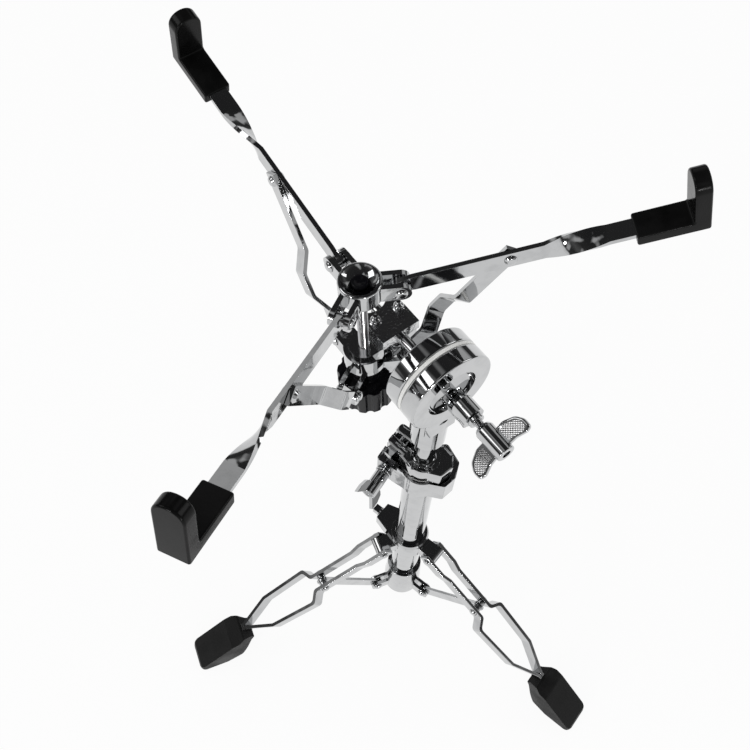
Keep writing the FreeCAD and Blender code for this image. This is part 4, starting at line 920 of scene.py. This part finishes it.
    def build(self) -> None:
        """Make the tilter's two halves, ring, bolt, washer, rod and wing nut."""
        self.add(self.front(), MIRROR, Slot.CHROME, "tilter_front_half")
        self.skin(MIRROR, 1.2 * MM, "tilter_rear_half", segments=3)
        self.skin(NYLON, 0.7 * MM, "tilter_friction_ring", slot=Slot.NYLON, segments=3)
        self.skin(MIRROR, 0.7 * MM, "tilter_washer")
        self.skin(MIRROR, 0.9 * MM, "offset_rod", segments=3)
        self.add(self.bolt(), THREAD, Slot.CHROME, "tilter_bolt")
        nut, panels = self.wing_nut()
        self.add(nut, MIRROR, Slot.CHROME, "tilter_wing_nut")
        panels.name = "wing_panels"
        self.panels = panels

    def dress(self) -> None:
        """Mount the pieces, and the knurled panels on the wing nut's body."""
        super().dress()
        self.panels.data.materials.clear()
        self.panels.data.materials.append(self.knurl().material())
        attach(self.panels, frame["nodes"]["tilter_wing_nut"]["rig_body"])


@dataclass
class Bracket(Assembly):
    """Block on the offset rod with its top plate, its two bolts and the strut collar."""

    seam: float = -62.7 * MM
    block_drop: float = 11.5 * MM
    plate_thick: float = 8.5 * MM
    bolt_along: float = -5.0 * MM
    rod_side: float = 22.5 * MM
    bolt_spread: float = 18.7 * MM
    bolt_radius: float = 1.9 * MM
    nut_radius: float = 3.6 * MM

    def bolt(self, across: float) -> Piece:
        """One bolt from below the block up to its domed nut on the plate."""
        low = self.seam - self.block_drop
        top = self.seam + self.plate_thick
        radius, nut = self.bolt_radius, self.nut_radius
        profile = [
            (0.0, low - 1.5 * MM), (1.2 * radius, low - 1.5 * MM), (1.2 * radius, low), (radius, low), (radius, top),
            (1.18 * nut, top), (1.18 * nut, top + 0.5 * MM), (nut, top + 0.9 * MM), (nut, top + 2.3 * MM),
            (0.86 * nut, top + 3.2 * MM), (0.62 * nut, top + 3.8 * MM), (radius, top + 4.0 * MM),
            (radius, top + 6.0 * MM), (0.8 * radius, top + 6.7 * MM), (0.0, top + 7.0 * MM),
        ]
        return settle(turned(profile, 40), Matrix.Translation((self.bolt_along, across, 0)))

    def build(self) -> None:
        """Make the casting, the plate, the bolts and the strut collar."""
        self.skin(CAST, 0.9 * MM, "bracket_casting", "strut_collar", segments=3)
        self.skin(PITTED, 0.8 * MM, "bracket_plate", segments=3)
        self.skin(MIRROR, 1.1 * MM, "strut_collar_rivets", segments=3)
        self.skin(MIRROR, 0.3 * MM, "knob_washer")
        bolts = [self.bolt(self.rod_side + sign * self.bolt_spread / 2) for sign in (1, -1)]
        bolts = smooth(settle(joined("bolts", *bolts), basket_frame()), 50)
        self.add(bolts, MIRROR, Slot.CHROME, "bracket_bolts")


@dataclass
class Basket(Assembly):
    """Dished hub on its threaded rod, with three arms and three bowed struts."""

    thread_radius: float = 3.6 * MM
    thread_low: float = -124.0 * MM
    thread_high: float = 4.9 * MM
    cap_radius: float = 5.4 * MM
    cap_high: float = 2.2 * MM
    lead: float = 1.5 * MM

    def cap(self) -> Piece:
        """Black cap in the dish, with a low rim and a dimple."""
        low, wide, high = self.thread_high, self.cap_radius, self.cap_high
        profile = [
            (0.0, low), (wide, low), (wide, low + 0.55 * high), (0.93 * wide, low + 0.85 * high),
            (0.80 * wide, low + high), (0.62 * wide, low + 0.94 * high), (0.48 * wide, low + 0.66 * high),
            (0.0, low + 0.55 * high),
        ]
        return smooth(settle(turned(profile, 48), basket_frame()), 50)

    def build(self) -> None:
        """Make the hub, its rod and cap, the arms and the struts."""
        self.skin(CAST, 1.1 * MM, "basket_hub", segments=3)
        self.skin(MIRROR, 1.1 * MM, "hub_rivets", segments=3)
        self.add(self.cap(), KNOB_PLASTIC, Slot.PLASTIC, "hub_cap")
        rod = threaded(self.thread_radius, self.thread_low, self.thread_high, self.lead)
        self.add(smooth(settle(rod, basket_frame()), 20), THREAD, Slot.CHROME, "basket_screw")
        for side in ARMS:
            name = side.value
            self.skin(STAMPED, 0.7 * MM, f"{name}_arm", f"{name}_strut")
            self.skin(MIRROR, 1.1 * MM, f"{name}_arm_rivet", segments=3)


@dataclass
class GripSet(Assembly):
    """Three moulded grips on the ends of the arms, measured along the arm from its pivot."""

    rise: float = math.radians(14.5)
    start: float = 136.5 * MM
    face: float = 167.6 * MM
    outer: float = 177.0 * MM
    bottom: float = -5.2 * MM
    base_top: float = 2.9 * MM
    top: float = 35.0 * MM
    half_width: float = 9.1 * MM
    crown_round: float = 8.7 * MM
    edge: float = 2.1 * MM
    arm_end: float = 167.2 * MM
    arm_half: float = 6.2 * MM
    arm_thick: float = 1.6 * MM

    def grip(self, side: Side) -> Piece:
        """Make one grip: a base round the arm and an upright with a rounded crown."""
        profile = eased([
            (self.start, self.bottom, 0), (self.outer, self.bottom, 1.5 * MM), (self.outer, self.top, 0),
            (self.face, self.top, 0), (self.face, self.base_top, 1.4 * MM), (self.start, self.base_top, 0),
        ], True, 5)
        piece = settle(plate(profile, -20 * MM, 20 * MM), SIDE_VIEW)
        half = self.half_width
        crown = self.crown_round
        front = eased([
            (-half, self.bottom - 5 * MM, 0), (half, self.bottom - 5 * MM, 0),
            (half, self.top - 0.1 * MM, crown), (-half, self.top - 0.1 * MM, crown),
        ], True, 10)
        carve(piece, settle(plate(front, self.start - 10 * MM, self.outer + 10 * MM), FRONT_VIEW), "INTERSECT")
        soften(piece, self.edge, 4, 34)
        slot = brick((self.start - 5 * MM, -self.arm_half, -self.arm_thick), (self.arm_end, self.arm_half, self.arm_thick))
        carve(piece, slot)
        return smooth(settle(piece, arm_frame(side, self.rise)), 44)

    def build(self) -> None:
        """Make the three grips."""
        for side in ARMS:
            self.add(self.grip(side), GRIP_PLASTIC, Slot.GRIP, f"{side.value}_grip")


@dataclass
class Knob(Assembly):
    """Fluted knob that draws the basket's screw down."""

    edge: float = 1.1 * MM

    def build(self) -> None:
        """Make the knob."""
        self.skin(KNOB_PLASTIC, self.edge, "basket_knob", slot=Slot.PLASTIC, segments=3)


@dataclass
class Studio:
    """Camera, floor, world and lamps."""

    eye: Vector = field(default_factory=lambda: Vector((-0.01214, -0.28914, 0.91146)))
    right: Vector = field(default_factory=lambda: Vector((0.98779, 0.15223, 0.03308)))
    down: Vector = field(default_factory=lambda: Vector((0.14824, -0.85327, -0.49995)))
    lens: float = 43.875
    sensor: float = 36.0
    floor_size: float = 12.0
    ambient: float = 0.70

    def camera(self) -> None:
        """Set the camera where the photograph was taken from."""
        bpy.ops.object.camera_add(location=self.eye)
        camera = bpy.context.object
        camera.name = "photo_camera"
        ahead = self.right.cross(self.down)
        turn = Matrix((self.right, -self.down, -ahead)).transposed()
        camera.rotation_mode = "QUATERNION"
        camera.rotation_quaternion = turn.to_quaternion()
        camera.data.lens = self.lens
        camera.data.sensor_width = self.sensor
        camera.data.clip_start = 0.01
        bpy.context.scene.camera = camera

    def floor(self) -> None:
        """Pale floor: white to the camera and to reflections, with the stand's soft shadow."""
        clear_selection()
        bpy.ops.mesh.primitive_grid_add(x_subdivisions=4, y_subdivisions=4, size=self.floor_size)
        ground = bpy.context.object
        ground.name = "studio_floor"
        made = bpy.data.materials.new("floor_paper")
        made.use_nodes = True
        tree = made.node_tree
        shader = tree.nodes["Principled BSDF"]
        shader.inputs["Base Color"].default_value = (0.80, 0.80, 0.80, 1)
        shader.inputs["Roughness"].default_value = 0.9
        shader.inputs["Specular IOR Level"].default_value = 0.0
        glow = tree.nodes.new("ShaderNodeEmission")
        path = tree.nodes.new("ShaderNodeLightPath")
        either = tree.nodes.new("ShaderNodeMath")
        either.operation = "MAXIMUM"
        shown = tree.nodes.new("ShaderNodeMath")
        shown.operation = "MAXIMUM"
        weight = tree.nodes.new("ShaderNodeMath")
        weight.operation = "MULTIPLY"
        weight.inputs[1].default_value = 0.93
        blend = tree.nodes.new("ShaderNodeMixShader")
        tree.links.new(path.outputs["Is Camera Ray"], either.inputs[0])
        tree.links.new(path.outputs["Is Glossy Ray"], either.inputs[1])
        tree.links.new(either.outputs[0], shown.inputs[0])
        tree.links.new(path.outputs["Is Transmission Ray"], shown.inputs[1])
        tree.links.new(shown.outputs[0], weight.inputs[0])
        tree.links.new(weight.outputs[0], blend.inputs["Fac"])
        tree.links.new(shader.outputs[0], blend.inputs[1])
        tree.links.new(glow.outputs[0], blend.inputs[2])
        tree.links.new(blend.outputs[0], tree.nodes["Material Output"].inputs["Surface"])
        ground.data.materials.append(made)

    def world(self) -> None:
        """White backdrop; even light for surfaces; a dark studio with a bright floor for reflections."""
        made = bpy.data.worlds.new("studio")
        bpy.context.scene.world = made
        made.use_nodes = True
        tree = made.node_tree
        tree.nodes.clear()
        where = tree.nodes.new("ShaderNodeTexCoord").outputs["Generated"]
        parts = tree.nodes.new("ShaderNodeSeparateXYZ")
        tree.links.new(where, parts.inputs[0])
        ramp = tree.nodes.new("ShaderNodeValToRGB")
        ramp.color_ramp.elements[0].position = 0.0
        ramp.color_ramp.elements[0].color = (0.9, 0.9, 0.9, 1)
        ramp.color_ramp.elements[1].position = 1.0
        ramp.color_ramp.elements[1].color = (0.02, 0.02, 0.021, 1)
        for place, tone in ((0.49, 0.85), (0.515, 0.05), (0.62, 0.03), (0.72, 0.10), (0.82, 0.03)):
            stop = ramp.color_ramp.elements.new(place)
            stop.color = (tone, tone, tone, 1)
        level = remap(tree, parts.outputs["Z"], -1.0, 1.0, 0.0, 1.0)
        tree.links.new(level.outputs["Result"], ramp.inputs["Fac"])
        clutter = noise(tree, where, 1.9, 1.0, 0.45)
        patches = remap(tree, clutter.outputs["Fac"], 0.54, 0.63, 0.0, 0.55)
        above = remap(tree, parts.outputs["Z"], 0.02, 0.10, 0.0, 1.0)
        shown = tree.nodes.new("ShaderNodeMath")
        shown.operation = "MULTIPLY"
        tree.links.new(patches.outputs["Result"], shown.inputs[0])
        tree.links.new(above.outputs["Result"], shown.inputs[1])
        room = tree.nodes.new("ShaderNodeMix")
        room.data_type = "RGBA"
        room.inputs["B"].default_value = (0.85, 0.85, 0.85, 1)
        tree.links.new(shown.outputs[0], room.inputs["Factor"])
        tree.links.new(ramp.outputs["Color"], room.inputs["A"])
        path = tree.nodes.new("ShaderNodeLightPath")
        seen = tree.nodes.new("ShaderNodeMath")
        seen.operation = "MAXIMUM"
        tree.links.new(path.outputs["Is Camera Ray"], seen.inputs[0])
        tree.links.new(path.outputs["Is Transmission Ray"], seen.inputs[1])
        plain = tree.nodes.new("ShaderNodeMix")
        plain.data_type = "RGBA"
        plain.inputs["A"].default_value = (self.ambient, self.ambient, self.ambient, 1)
        plain.inputs["B"].default_value = (1, 1, 1, 1)
        tree.links.new(seen.outputs[0], plain.inputs["Factor"])
        mirror = tree.nodes.new("ShaderNodeMix")
        mirror.data_type = "RGBA"
        tree.links.new(path.outputs["Is Glossy Ray"], mirror.inputs["Factor"])
        tree.links.new(plain.outputs["Result"], mirror.inputs["A"])
        tree.links.new(room.outputs["Result"], mirror.inputs["B"])
        background = tree.nodes.new("ShaderNodeBackground")
        tree.links.new(mirror.outputs["Result"], background.inputs["Color"])
        output = tree.nodes.new("ShaderNodeOutputWorld")
        tree.links.new(background.outputs[0], output.inputs["Surface"])

    def lamp(self, name: str, place: Vector, aim: Vector, wide: float, high: float, power: float) -> None:
        """Soft box of a size that faces a point."""
        bpy.ops.object.light_add(type="AREA", location=place)
        lamp = bpy.context.object
        lamp.name = name
        lamp.data.shape = "RECTANGLE"
        lamp.data.size = wide
        lamp.data.size_y = high
        lamp.data.energy = power
        lamp.rotation_mode = "QUATERNION"
        lamp.rotation_quaternion = (aim - place).to_track_quat("-Z", "Y")
        lamp.visible_camera = False

    def build(self) -> None:
        """Set up the whole studio."""
        self.camera()
        self.floor()
        self.world()
        middle = Vector((0, 0, 0.3))
        self.lamp("left_box", Vector((-1.7, -0.3, 1.7)), middle, 0.9, 0.9, 5.5)
        self.lamp("right_box", Vector((1.9, 0.6, 1.5)), middle, 0.5, 1.0, 3.5)
        self.lamp("left_spot", Vector((-1.1, -1.8, 0.9)), middle, 0.34, 0.20, 7.0)
        self.lamp("right_spot", Vector((0.9, -1.9, 0.8)), middle, 0.22, 0.22, 5.0)
        bpy.context.scene.view_settings.view_transform = "Standard"


def main() -> None:
    """Build the studio and the stand in order."""
    logging.basicConfig(level=logging.INFO, format="%(message)s")
    plating_group()
    moulding_group()
    knurling_group()
    Studio().build()
    for assembly in (LegSet(), FootSet(), HeightClamp(), Tilter(), Bracket(), Basket(), GripSet(), Knob()):
        LOG.info("building %s", type(assembly).__name__)
        assembly.build()
        assembly.dress()


if __name__ == "__main__":
    main()
